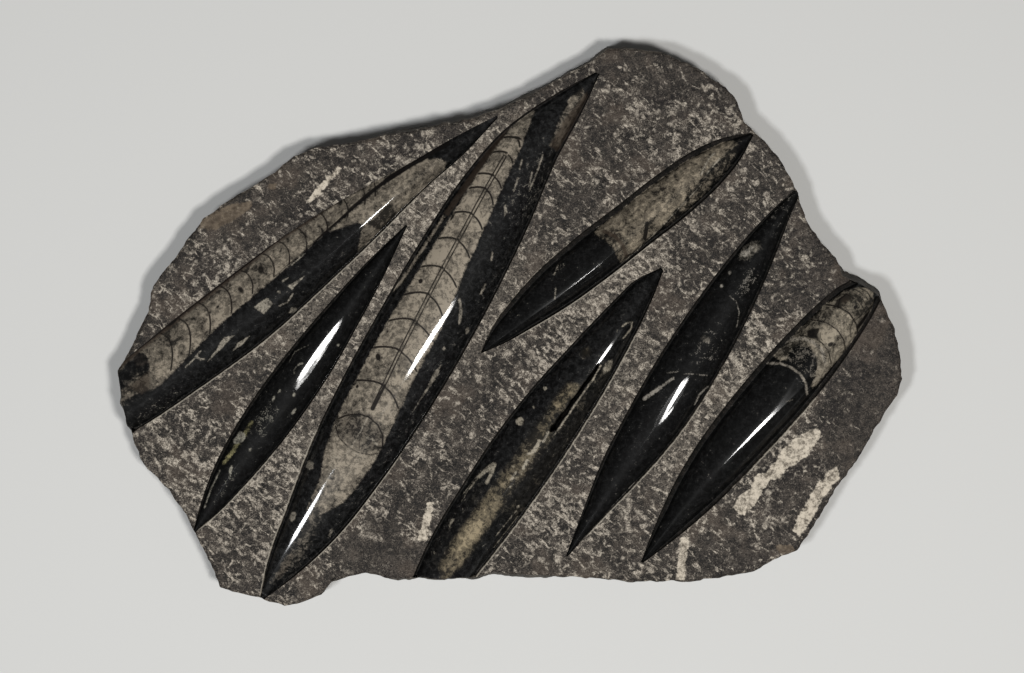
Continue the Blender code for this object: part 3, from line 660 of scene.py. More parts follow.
def great_chamber_walls(s, t):
    """Lines bowed towards the tip: each leaves the tube at its place and hangs back with the
    square of the distance."""
    tube = np.array(GREAT_TUBE).T
    high, low = np.array(GREAT_HIGH).T, np.array(GREAT_LOW).T
    lines = []
    for place, back_up, back_down in GREAT_WALLS:
        middle, top, bottom = np.interp(place, *tube), np.interp(place, *high), np.interp(place, *low)
        w = np.linspace(0, 1, 6)
        up = list(zip(place - back_up * w**1.8, middle + (top - middle) * w))
        down = list(zip(place - 0.5 - back_down * w**1.8, middle - 1.2 + (bottom - middle + 1.2) * w))
        lines += [(0.52, up), (0.46, down)]
    return strokes(lines, s, t)


great_marks = dict(
    calcite=lambda s, t: np.maximum.reduce([
        band(GREAT_LOW, GREAT_HIGH, s, t), strokes([(0.5, [(152, 26), (160, 24.6), (195, 24.2)])], s, t),
        patch([(250, -3), (277, -1), (279, 3), (272, 5), (258, 3.4), (248, 1)], s, t) - 0.3,
        0.2 * oval((38, -1.5), 40, 9, 8, s, t) - 0.6, 0.4 * oval((22, -1), 15, 3.4, 0, s, t) - 0.15]),
    tone=lambda s, t: (1.1 * ease(s, 98, 104) - 1.5 * (1 - ease(s, 46, 62))
                       + 0.7 * ease(s, 58, 70) * (1 - ease(s, 76, 86))
                       + 0.5 * ease(s, 145, 160) * (1 - ease(s, 205, 225))
                       - 0.5 * ease(oval((92, 3), 17, 24, 0, s, t), -1, 1)
                       - 0.9 * ease(oval((88, -4), 10, 9, 0, s, t), -1, 2)
                       - 1.9 * ease(s, 246, 250) * ease(-t, -6, -4)
                       + 0.5 * ease(-t, -4, 4) * (1 - ease(s, 160, 180))),
    pale=lambda s, t: np.maximum.reduce([
        patch([(112, -12.1), (125, -11.6), (133, -10.6), (137, -11.6), (133, -12.8), (124, -12.5)], s, t),
        patch([(156.5, -8.4), (163, -4.6), (166.5, -1.6), (168, -2.4), (164.5, -6), (159, -8.8)], s, t) - 0.2,
        patch([(209.5, 0.8), (213.5, 3.6), (215.5, 3.4), (212, 0.2)], s, t) - 0.2,
        strokes([(0.5, [(174.5, -9.2), (179, -8.6)]), (0.35, [(226, -2.5), (236, -0.6), (243, 1.2)]),
                 (0.4, [(222, 3.4), (228, 5)]), (0.3, [(228, -1), (234, 1.2)]),
                 (0.35, [(232, 6.6), (236, 8)]), (0.4, [(190, -5), (193, -3.6)]),
                 (0.25, [(80, 2.6), (90, 2.8), (99, 3.6)]), (0.35, [(82.6, 0), (82, -3), (83.2, -6)]),
                 (0.5, [(91.4, -1), (92, -4), (91, -6.5)]), (0.3, [(74.6, 7.6), (76.6, 5.4)])], s, t),
        oval((42.5, 8.2), 4.5, 2.8, 10, s, t),
        patch([(64.4, 15.8), (68, 16.2), (68.2, 13.2), (66, 12), (64.6, 13.4)], s, t),
        oval((45.5, -10.3), 3, 1.2, 10, s, t), oval((157, -13), 2.6, 1.6, 20, s, t),
        oval((144.5, -8.6), 1.6, 1.2, 0, s, t)]),
    line=lambda s, t: np.maximum.reduce([
        np.minimum(great_chamber_walls(s, t), band(GREAT_LOW, GREAT_HIGH, s, t)),
        0.36 - np.abs(away(GREAT_TUBE, s, t) - 0.7),
        strokes([(0.9, [(104, 4.1), (110, 4.6)]), (0.6, [(110, 4.6), (116, 5)])], s, t),
        strokes([(0.42,
                  [(91, 15), (94.6, 12.6), (98.4, 8), (99.8, 3.5), (99, -2), (96, -6.6), (91.5, -9.2)]),
                 (0.32, [(88, 14), (84.6, 10), (83.2, 4), (83.4, -1), (85.4, -6.4), (88, -9)]),
                 (0.1, [(85, 10), (91, 3.4), (97.6, 9)]), (0.2, [(85, -1), (91, 3), (94, -6)])], s, t),
        oval((125, 14.6), 3.4, 2.4, 40, s, t), oval((164.5, 17), 2.4, 2, 0, s, t),
        strokes([(0.3, [(164.5, 17), (164, 20)])], s, t),
        oval((108.5, 15.4), 1.8, 1.4, 0, s, t), oval((197, 20.6), 4, 1.2, 0, s, t),
        oval((243.5, 15), 1.4, 4, 10, s, t)]),
    stain=lambda s, t: np.maximum.reduce([
        0.75 * ease(band([(196, 22.2), (250, 20.5)], [(196, 25.5), (250, 24)], s, t), -0.6, 0.8),
        0.3 * ease(oval((92, 3), 17, 24, 0, s, t), -1, 1.5),
        0.5 * ease(oval((22, -1), 15, 4, 0, s, t), -1, 1),
        0.7 * ease(patch([(248, -4), (276, -3), (279, 0), (262, 2), (248, 1)], s, t), -1, 1)]),
    speck=lambda s, t: np.maximum(ease(s, 195, 225) * (1 - ease(s, 240, 255)) * ease(-t, -8, -4) * 0.55,
                                  0.25 * ease(-t, 8, 10)),
    dull=lambda s, t: (0.3 * ease(band(GREAT_LOW, GREAT_HIGH, s, t), -1, 1) * ease(t, 3, 7)
                       + 0.9 * ease(-t, 1.7, 2.3) * ease(s, 112, 118) * (1 - ease(s, 172, 178))))
spindle(great, polish("great_shell_stone", (89, 83, 74), (134, 127, 115), haze=34), great_marks,
        flats=[((2, 1.5), (80, 4.5), 0.07, -0.05), ((121, -0.9), (170, -1.6), 0.12, 0.17)], rims=[(1, 5, 80)])

# --------------------------------------------------------------------------------------------------
# Upper right shell: black stone at its lower end, grey calcite towards the top.  It was ground to a sharp
# keel, with a wide tooled groove along its left and a narrower one along its right.
upper_right = Shell(
    "upper_right_shell", ends=((-11.9, -12.5), (111.7, 87.2)), grooves=(1.4, 2.6), keel=0.15, rows=[
        (0.0, 0.4, 0.5, 0.0, -0.6), (10.0, 3.2, 5.8, -0.4, 2.0), (25.0, 5.8, 10.1, -1.2, 4.3),
        (45.0, 8.5, 13.2, -2.0, 5.8), (65.0, 9.6, 13.9, -2.4, 6.3), (90.0, 9.9, 13.3, -1.2, 6.2),
        (115.0, 10.2, 12.8, 0.6, 5.5), (135.0, 8.5, 10.7, 1.2, 4.0), (148.0, 5.5, 6.8, 0.6, 2.0),
        (158.8, 0.8, 0.8, 0.0, -0.8)])
UPPER_RIGHT_LOW = [(75, -8.2), (90, -7.5), (100, -6.8), (108, -5), (115, -4), (122, -2.8), (128, -1),
                   (133, 0), (150, 0.8)]
UPPER_RIGHT_HIGH = [(72, 10.2), (100, 10.4), (115, 10), (125, 9.3), (135, 8), (145, 5.6), (151, 2.4)]
upper_right_marks = dict(
    calcite=lambda s, t: np.maximum(
        np.minimum(band(UPPER_RIGHT_LOW, UPPER_RIGHT_HIGH, s, t) + 0.3,
                   s - np.interp(t, [-8, 0, 6, 10], [75, 76.5, 75.5, 71.5])),
        0.2 * patch([(98, -9), (112, -9.5), (132, -7.5), (149, -3), (152, 2), (140, 1), (126, -1),
                     (110, -5)], s, t) - 0.45),
    tone=lambda s, t: (0.6 * ease(s, 96, 102) * (1 - ease(s, 112, 120))
                       - 0.7 * ease(s, 130, 140) * ease(-t, -3, -1) - 0.2
                       - 1.6 * ease(oval((78.5, 4), 7, 9, 70, s, t), -1.5, 1.5)
                       # This lighter oval along the keel near the top is a painted sheen round the painted
                       # highlight below.
                       + 0.9 * ease(oval((134, 2), 14, 3, 12, s, t), -0.6, 0.8)
                       - 1.4 * ease(-t - np.interp(s, [96, 110, 126, 140], [8, 5, 1, -1]), -0.4, 0.8)
                       * ease(s, 94, 100)),
    pale=lambda s, t: strokes([(0.3, [(48, 7), (52, 9)]), (0.3, [(41, -2), (43, 0), (44.5, 1.5)]),
                               # This stroke along the keel near the top is a painted highlight.
                               (0.4, [(128.5, 0.2), (133, 2.4), (137, 4), (140, 4)]),
                               (0.25, [(131, -1), (140, 0.6)]),
                               (0.1, [(78, -8.6), (90, -7.8), (102, -6.6), (114, -5), (126, -3.4)])], s, t),
    line=lambda s, t: np.maximum(strokes([(0.95, [(90.5, -6.2), (95.5, -1.6)])], s, t),
                                 oval((77.5, 5.8), 3, 2.6, 0, s, t) - 0.45),
    stain=lambda s, t: ease(0.9 - away([(79, -7), (80.6, -2), (80.4, 3), (78, 8)], s, t), -0.6, 0.6),
    speck=lambda s, t: (0.6 * ease(oval((52, 8), 12, 5, 0, s, t), 0, 2)
                        + 0.5 * ease(s, 66, 76) * ease(t, 5, 9)))
spindle(upper_right, polish("upper_right_stone", (91, 84, 73)), upper_right_marks,
        flats=[((22, -0.8), (72, -3), 0.035, 0.15)], rims=[(1, 8, 60)])

# --------------------------------------------------------------------------------------------------
# Cracked shell: broad, of cloudy grey calcite low down and black stone above.  The stone has opened in a
# long crack beside the keel, which was left as it is when the shell was ground and polished.
cracked = Shell(
    "cracked_shell", ends=((-38.0, -122.3), (73.2, 25.9)), grooves=(1.2, 1.2), keel=0.4, rows=[
        (-12.0, 13.4, 5.0, -0.8, 6.0), (20.0, 14.5, 12.6, -1.0, 6.7), (50.0, 15.0, 15.8, -0.8, 7.3),
        (80.0, 14.2, 17.4, -0.8, 7.6), (105.0, 12.5, 16.8, -0.8, 7.7), (130.0, 9.8, 14.4, 0.0, 7.6),
        (147.0, 7.3, 12.5, 0.3, 7.6), (160.0, 4.9, 10.8, 0.9, 5.3), (172.0, 2.2, 8.6, 1.8, 2.6),
        (183.0, -1.0, 3.0, 2.0, -0.4)])
CRACK_OUTLINE = [
    (93.0, -1.6), (95.5, -3.3), (98.5, -3.1), (101.0, -2.6), (104.0, -3.0), (109.0, -2.3), (114.0, -2.5),
    (119.0, -2.0), (124.0, -2.2), (130.0, -1.6), (130.5, -0.7), (125.0, -0.8), (120.0, -0.5), (115.0, -0.9),
    (110.0, -0.7), (105.0, -1.1), (101.5, -0.7), (98.0, -1.0), (95.5, -0.6),
]
cracked_marks = dict(
    calcite=lambda s, t: np.maximum.reduce([
        patch([(9, -4), (13, 2), (25, 4.2), (45, 4.6), (57, 4.4), (59, 0), (57, -4), (42, -5.6),
               (20, -6.4)], s, t) - 0.4,
        patch([(103, 1.5), (105, 4.4), (110, 4.8), (115, 4.4), (116.5, 1), (113, 0.1), (104, 0.3)], s, t)
        + 0.7,
        0.5 * patch([(56, -4), (58, 4.6), (70, 4.2), (84, 4.8), (100, 5), (114, 4), (108, 0), (94, 0),
                     (92, -3.6), (76, -4.6)], s, t) - 0.5,
        0.12 * patch([(46, -4), (90, -4), (130, -4), (132, -8), (100, -12), (54, -13)], s, t) - 1.1,
        0.12 * patch([(10, 4), (30, 5), (56, 5), (56, 11), (30, 11), (12, 8)], s, t) - 1.5,
        oval((132, 7), 5, 4, 0, s, t) - 0.8]),
    tone=lambda s, t: (2.1 * ease(oval((35, -0.4), 47, 9.0, 0, s, t), -0.5, 3.6) - 0.9
                       - 1.4 * ease(np.abs(t), 4.6, 6)
                       - 0.7 * ease(s, 56, 60) * (1 - ease(s, 98, 106))),
    pale=lambda s, t: np.maximum.reduce([
        strokes([(0.05, [(43, 11.5), (50, 12.2)]), (0.3, [(50, 12.2), (57, 12)]),
                 (0.8, [(57, 12), (63, 11)]), (1.15, [(62, 11), (65.7, 9.9), (62.6, 8.9)]),
                 (0.75, [(64, 8.8), (57, 7.4)]), (0.05, [(46, 13), (60, 12.8)]),
                 (0.3, [(147, -2.8), (153, -3), (155.6, -1.6), (154, 0), (151, 1)]),
                 (0.12, [(40, -10.5), (55, -11)]), (0.12, [(35, -13), (53, -13.2)]),
                 # This stroke along the crack's lower edge is a painted highlight.
                 (0.4, [(93, -3.9), (98, -4), (104, -3.7), (112, -3.2), (124, -2.9), (131, -2)]),
                 # These six short strokes along the keel from s 62 to 92 are painted highlights: glints on
                 # the crest.
                 (0.55, [(65, -0.6), (69, -0.2)]), (0.7, [(72.6, -1.8), (76.4, -1)]),
                 (0.5, [(78.6, 0.6), (81, -0.8)]), (0.8, [(81.5, -0.9), (86.8, -0.4)]),
                 (0.6, [(87.6, -1.9), (92.4, -0.8)]), (0.3, [(62, -2), (64, -2.6)])], s, t),
        oval((88.5, 12.3), 3.7, 3.7, 0, s, t), oval((107.5, 12), 1.7, 1.7, 0, s, t),
        oval((97.5, 11), 1.2, 1.2, 0, s, t),
        0.75 * oval((132.5, -5), 7, 3.6, 8, s, t) - 0.1, oval((33, 9.5), 5, 1.4, 0, s, t) - 0.25,
        oval((17, 7.5), 1.8, 1.4, 0, s, t) - 0.3, oval((57, -10.5), 2.2, 1.6, 0, s, t) - 0.2,
        strokes([(0.05, [(94, 3.4), (98, 5), (101, 3.6)])], s, t)]),
    speck=lambda s, t: np.maximum(0.3 * ease(oval((30, 8), 50, 8, 0, s, t), 0, 3),
                                  # The flecks in this oval, on the crest from s 56 to 96, are painted glints
                                  # of light.
                                  0.5 * ease(oval((76, 0), 40, 14, 0, s, t), 0, 4)),
    line=lambda s, t: 2 * patch(CRACK_OUTLINE, s, t) + 0.3,
    dull=lambda s, t: ease(band([(50, -6), (92, -5)], [(50, 6), (92, 5)], s, t), -4, 2))
spindle(cracked, polish("cracked_stone", (88, 80, 65), (150, 142, 127), haze=32, soft=3.0), cracked_marks,
        flats=[((124, -0.5), (153, 0.1), 0.12, 0.125)], rims=[(-1, 15, 150)], crack=CRACK_OUTLINE)

# --------------------------------------------------------------------------------------------------
# Slim right shell: black stone with one white stick of calcite low on its left.  It was ground to a long
# even spindle and keeps fine streaks from the polishing.
slim_right = Shell(
    "slim_right_shell", ends=((27.0, -105.8), (133.6, 59.9)), grooves=(1.2, 1.4), keel=0.45, rows=[
        (0.0, 0.4, 0.5, 0.0, -0.6), (20.0, 4.0, 4.8, 0.0, 2.4), (45.0, 9.0, 10.0, -0.4, 4.8),
        (70.0, 12.8, 12.5, -0.8, 6.4), (95.0, 13.8, 13.9, -1.2, 7.0), (120.0, 12.5, 13.8, -0.6, 6.6),
        (145.0, 9.7, 12.4, 0.6, 5.6), (170.0, 5.3, 9.5, 1.6, 3.8), (186.0, 1.8, 6.2, 2.0, 1.8),
        (197.0, 0.0, 3.2, 1.6, -0.4)])
slim_right_marks = dict(
    pale=lambda s, t: np.maximum.reduce([
        strokes([(0.8, [(79.5, 9.2), (88, 6)]), (0.55, [(88, 6), (94.6, 3.4)]),
                 (0.4, [(90, -11.6), (95, -11), (100, -12.2)]), (0.2, [(95, 7), (98.5, 3)]),
                 (0.2, [(98.5, 1), (101, -3), (104, -9)]),
                 (0.15, [(140, 2), (139.5, -2), (136, -6), (130, -8.5)]), (0.2, [(30, -5.5), (45, -8)])],
                s, t),
        0.6 * patch([(157.5, 8), (160, 8.6), (165, 6.4), (166, 4), (162, 4.4), (159, 5)], s, t) - 0.25,
        oval((142, 7.5), 1.5, 1.2, 0, s, t),
        oval((149, 7.5), 1.5, 1.2, 0, s, t)]),
    calcite=lambda s, t: np.maximum(oval((117.5, 0.5), 2.6, 4, 0, s, t),
                                    0.5 * oval((163, 5), 12, 6, -20, s, t) - 0.3),
    speck=lambda s, t: np.maximum(0.9 * ease(oval((150, -1), 22, 12, 0, s, t), 0, 4),
                                  0.6 * ease(oval((115, -2), 30, 16, 0, s, t), 0, 5))
    + 0.45 * ease(s, 168, 186),
    dull=lambda s, t: np.maximum(
        ease(t - np.interp(s, [72, 98], [-2.3, -0.3]), -0.4, 0.3) * ease(s, 60, 68) * (1 - ease(s, 99, 106)),
        ease(-t, 2.2, 3.6) * (0.9 + 1.8 * ground(s / 15, t / 0.75, 1.0, 61))))
spindle(slim_right, polish("slim_right_stone", (80, 76, 69), (150, 144, 134)), slim_right_marks,
        flats=[((70, -2.6), (100, -2.6), 0.36, 0.12)], rims=[(-1, 10, 110)])

# --------------------------------------------------------------------------------------------------
# Right end shell: a body chamber filled with black stone, then pale calcite chambers with arched walls up
# to its rounded end.  It was ground and polished like the others, with a groove on each side.
right_end = Shell(
    "right_end_shell", ends=((57.6, -113.1), (168.4, 18.6)), grooves=(2.0, 2.6), keel=0.2, rows=[
        (6.0, 0.6, 0.6, 0.0, -0.4), (20.0, 4.0, 5.5, 0.8, 2.6), (40.0, 7.7, 11.3, 1.6, 5.0),
        (60.0, 10.0, 15.0, 1.2, 6.6), (80.0, 11.3, 16.7, -0.2, 7.5), (105.0, 12.3, 17.2, -2.0, 7.8),
        (130.0, 11.7, 16.3, -1.6, 7.3), (150.0, 9.7, 14.3, 0.4, 6.2), (160.0, 8.2, 12.4, 1.4, 5.0),
        (170.0, 6.0, 8.0, 1.6, 3.0)])
RIGHT_END_LOW = [(117, -8.4), (140, -9), (155, -8.5), (163, -6.5), (168.5, -1)]
RIGHT_END_HIGH = [(117, 14.5), (131, 13.5), (150, 11.5), (160, 9), (166, 5), (168.5, 1)]
right_end_marks = dict(
    calcite=lambda s, t: np.minimum(band(RIGHT_END_LOW, RIGHT_END_HIGH, s, t),
                                    -patch([(115, 14), (119, 9), (122, 10.5), (127, 10), (130, 6),
                                            (129.4, 1), (126, -3), (121, -6), (115, -7)], s, t)),
    tone=lambda s, t: (0.6 * ease(oval((145, -0.5), 20, 17, 0, s, t), -1, 2)
                       + 0.7 * ease(-t, 3, 6) * (1 - ease(s, 148, 154))
                       + 0.9 * ease(oval((139.5, 1.8), 7, 7.4, 0, s, t), -0.5, 0.5)
                       - 0.8 * ease(s, 152, 156) - 1.5 * ease(oval((155.5, 7), 8, 4, 0, s, t), -1, 1)
                       - 0.8 * ease(oval((130, 11), 26, 6, -8, s, t), -1, 1)),
    pale=lambda s, t: strokes([
        (0.55, [(112.5, 14.5), (116, 10.5), (117.5, 6), (118, 1), (116.5, -4), (113, -8)]),
        (0.75, [(127.6, 13), (131.4, 10), (133, 5), (132.6, 0), (129.5, -4.5)]),
        (0.2, [(104, -2.6), (107, -4.4)])], s, t),
    line=lambda s, t: np.maximum.reduce([
        np.minimum(strokes([(w, [(c - 4, 12.6), (c - 0.8, 7), (c, 1), (c - 1.6, -5), (c - 4.5, -9)])
                            for c, w in ((144.3, 0.36), (149.4, 0.1), (153.6, 0.42), (160.6, 0.26),
                                         (162.6, 0.26), (164.6, 0.28), (166.4, 0.34))], s, t),
                   band(RIGHT_END_LOW, RIGHT_END_HIGH, s, t)),
        0.4 * patch([(133, 8.8), (135.6, 10.6), (137.2, 9.6), (140, 7), (136.6, 5.6), (135.4, 3.6),
                     (134.2, 6.6)], s, t), 0.7 * oval((137.2, -1.4), 3.4, 2.2, -20, s, t) - 0.1,
        oval((157.6, 0.8), 2.2, 1.6, 0, s, t), 0.2 - np.abs(oval((139.5, 1.8), 7, 7.4, 0, s, t))
        - ease(s, 138, 141),
        strokes([(0.3, [(131.5, 12), (134.4, 7), (135.2, 2), (134, -3), (131, -7.4)]),
                 (0.3, [(152, 6.5), (156, 8.4), (160, 7.4)]), (0.25, [(153, -3), (157, -3.8), (161, -3)]),
                 (0.25, [(146, -6.5), (149, -3.6), (153, -2)])], s, t),
        strokes([(0.6, [(119, -9.6), (150, -9.8), (165, -7)])], s, t),
        patch([(150, -5), (158, -4.6), (164, -5.4), (158, -7.6), (151, -7.6)], s, t) - 0.5]),
    stain=lambda s, t: np.maximum(0.2
                                  * ease(patch([(119, 9), (127, 10), (129.4, 4), (126, -3), (120, -6)], s,
                                               t), -1, 1),
                                  0.5 * ease(oval((158, 6.5), 7, 4, 0, s, t), -1, 1)),
    speck=lambda s, t: ease(s, 118, 120) * (1 - ease(s, 129, 131)) * 0.9)
spindle(right_end, polish("right_end_stone", (92, 86, 76), (136, 129, 118)), right_end_marks,
        flats=[((58, 1.8), (116, -4.5), 0.07, 0.08)], rims=[(-1, 60, 112)])
SHELLS = [far_left, small_left, great, upper_right, cracked, slim_right, right_end]


# --------------------------------------------------------------------------------------------------
# Pecked face: the bed between the shells, dressed down with a point.  Every blow leaves a small dent with a
# pale bruised lip.  It is cut in two pieces along the great shell, and runs up to the shells' cut lines.
FACE_STEP = 0.55
FACE_REACH = (184, 132)  # half the length and width of the grid, a little past the plate's edge
DENT_SPACING = 3.1
SMALL_DENT_SPACING = 1.7
RIM_DROP = 0.9  # the face is rounded over by this much at the plate's edge
RIM_RUN = 0.8   # and about this far in from it


def dents(x, y, spacing, seed):
    """Two fields from one jittered oval dent in each square of the spacing: its depth, 1 at the middle and
    0 at the rim, and its lip, 1 on a part of the rim."""
    rng = np.random.default_rng(seed)
    jitter = rng.uniform(0.05, 0.95, (2, 256, 256))
    turn = rng.uniform(0, math.pi, (256, 256))
    size = rng.uniform(0.55, 1.25, (256, 256)) * spacing * 0.42
    deep = rng.uniform(0.2, 1.0, (256, 256))
    open_side = rng.uniform(0, 2 * math.pi, (256, 256))
    i, j = np.floor(x / spacing).astype(int), np.floor(y / spacing).astype(int)
    depth, lip = np.zeros(x.shape), np.zeros(x.shape)
    for di in (-1, 0, 1):
        for dj in (-1, 0, 1):
            a, b = (i + di) % 256, (j + dj) % 256
            dx = x - (i + di + jitter[0][a, b]) * spacing
            dy = y - (j + dj + jitter[1][a, b]) * spacing
            c, n = np.cos(turn[a, b]), np.sin(turn[a, b])
            u, v = (dx * c + dy * n) / size[a, b], (dy * c - dx * n) / (size[a, b] * 0.62)
            far = np.hypot(u, v)
            depth = np.maximum(depth, deep[a, b] * np.clip(1 - far**2, 0, 1))
            facing = 0.5 + 0.5 * np.cos(np.arctan2(dy, dx) - open_side[a, b])
            lip = np.maximum(lip, deep[a, b] * np.exp(-((far - 0.85) / 0.2) ** 2) * ease(facing, 0.25, 0.8))
    return depth, lip


def inside_shells(x, y):
    """Highest of the seven shells' inside distances, and which shell it is."""
    every = np.stack([shell.inside(x, y) for shell in SHELLS])
    return every.max(axis=0), every.argmax(axis=0)


def face_fields(x, y):
    """Height of the pecked face over the face level, and how bruised the stone is."""
    depth, lip = dents(x, y, DENT_SPACING, 31)
    small, small_lip = dents(x, y, SMALL_DENT_SPACING, 32)
    rough = 0.22 * ground(x, y, 7.0, 33) + 0.12 * ground(x, y, 2.6, 34)
    beaten = 0.5 + 0.5 * ground(x, y, 16.0, 35)
    height = swell(x, y) + rough - (0.25 + 0.25 * beaten) * depth - 0.1 * small
    bruise = lip * (0.35 + 0.9 * beaten) + 0.45 * small_lip * beaten
    return height, bruise


def pecked_face():
    """A square grid of points.  Those near a cut line or the plate's edge are moved onto it, and the
    triangles beyond are left out, so both borders are clean."""
    xs, ys = [np.arange(-reach, reach + 0.1, FACE_STEP) for reach in FACE_REACH]
    x, y = np.meshgrid(xs, ys, indexing="ij")
    inner, owner = inside_shells(x, y)
    on_line = np.abs(inner) < 0.5 * FACE_STEP
    for number, shell in enumerate(SHELLS):
        mine = on_line & (owner == number)
        s, t = shell.to_axis(x[mine], y[mine])
        right, left = shell.row(1, s), shell.row(2, s)
        t = np.where(right + t < left - t, -right, left)
        beyond = (s < shell.first) | (s > shell.last)
        t = np.where(beyond, np.clip(shell.to_axis(x[mine], y[mine])[1], -right, left), t)
        x[mine], y[mine] = shell.to_plate(s, t)
    angle, far = np.arctan2(y, x), np.hypot(x, y)
    table = np.linspace(-math.pi, math.pi, 4000)
    reach = edge_distance(table)
    slope = np.abs(np.gradient(reach, table)) / reach
    steep = np.hypot(1, np.interp(angle, table, slope))
    over = (far - edge_distance(angle)) / steep
    at_edge = np.abs(over) < 0.5 * FACE_STEP
    pull = np.where(at_edge, edge_distance(angle) / far, 1)
    x, y = x * pull, y * pull
    outside = ((inner > 0) & ~on_line) | ((over > 0) & ~at_edge)
    height, bruise = face_fields(x, y)
    rim = np.clip(-over, 0, None)
    lip = np.clip(-inner, 0, None)
    height = height * ease(lip, 0.0, 1.2) + swell(x, y) * (1 - ease(lip, 0.0, 1.2))
    height = height - RIM_DROP * np.exp(-(rim / RIM_RUN) ** 2)
    index = np.arange(x.size).reshape(x.shape)
    corners = [index[:-1, :-1], index[1:, :-1], index[1:, 1:], index[:-1, 1:]]
    border = (on_line | at_edge).ravel()
    gone = outside.ravel()
    a, b, c, d = [corner.ravel() for corner in corners]
    along_bd = (border[b] & border[d]) & ~(border[a] & border[c])
    first = np.where(along_bd[:, None], np.stack([a, b, d], axis=-1), np.stack([a, b, c], axis=-1))
    second = np.where(along_bd[:, None], np.stack([b, c, d], axis=-1), np.stack([a, c, d], axis=-1))
    faces = np.concatenate([first, second])
    faces = faces[~gone[faces].any(axis=1)]
    points = np.stack([x.ravel(), y.ravel(), FACE_LEVEL + height.ravel()], axis=-1)
    # A triangle with all three corners on one border has no face of its own.
    flat = border[faces].all(axis=1)
    middle = points[faces].mean(axis=1)
    middle_in = inside_shells(middle[:, 0], middle[:, 1])[0]
    middle_over = np.hypot(middle[:, 0], middle[:, 1]) - edge_distance(np.arctan2(middle[:, 1], middle[:, 0]))
    faces = faces[~(flat & ((middle_in > -0.02) | (middle_over > -0.02)))]
    fields = {name: values.ravel() for name, values in bed_places(x, y).items()}
    return points, faces, {"bruise": bruise.ravel(), **fields}


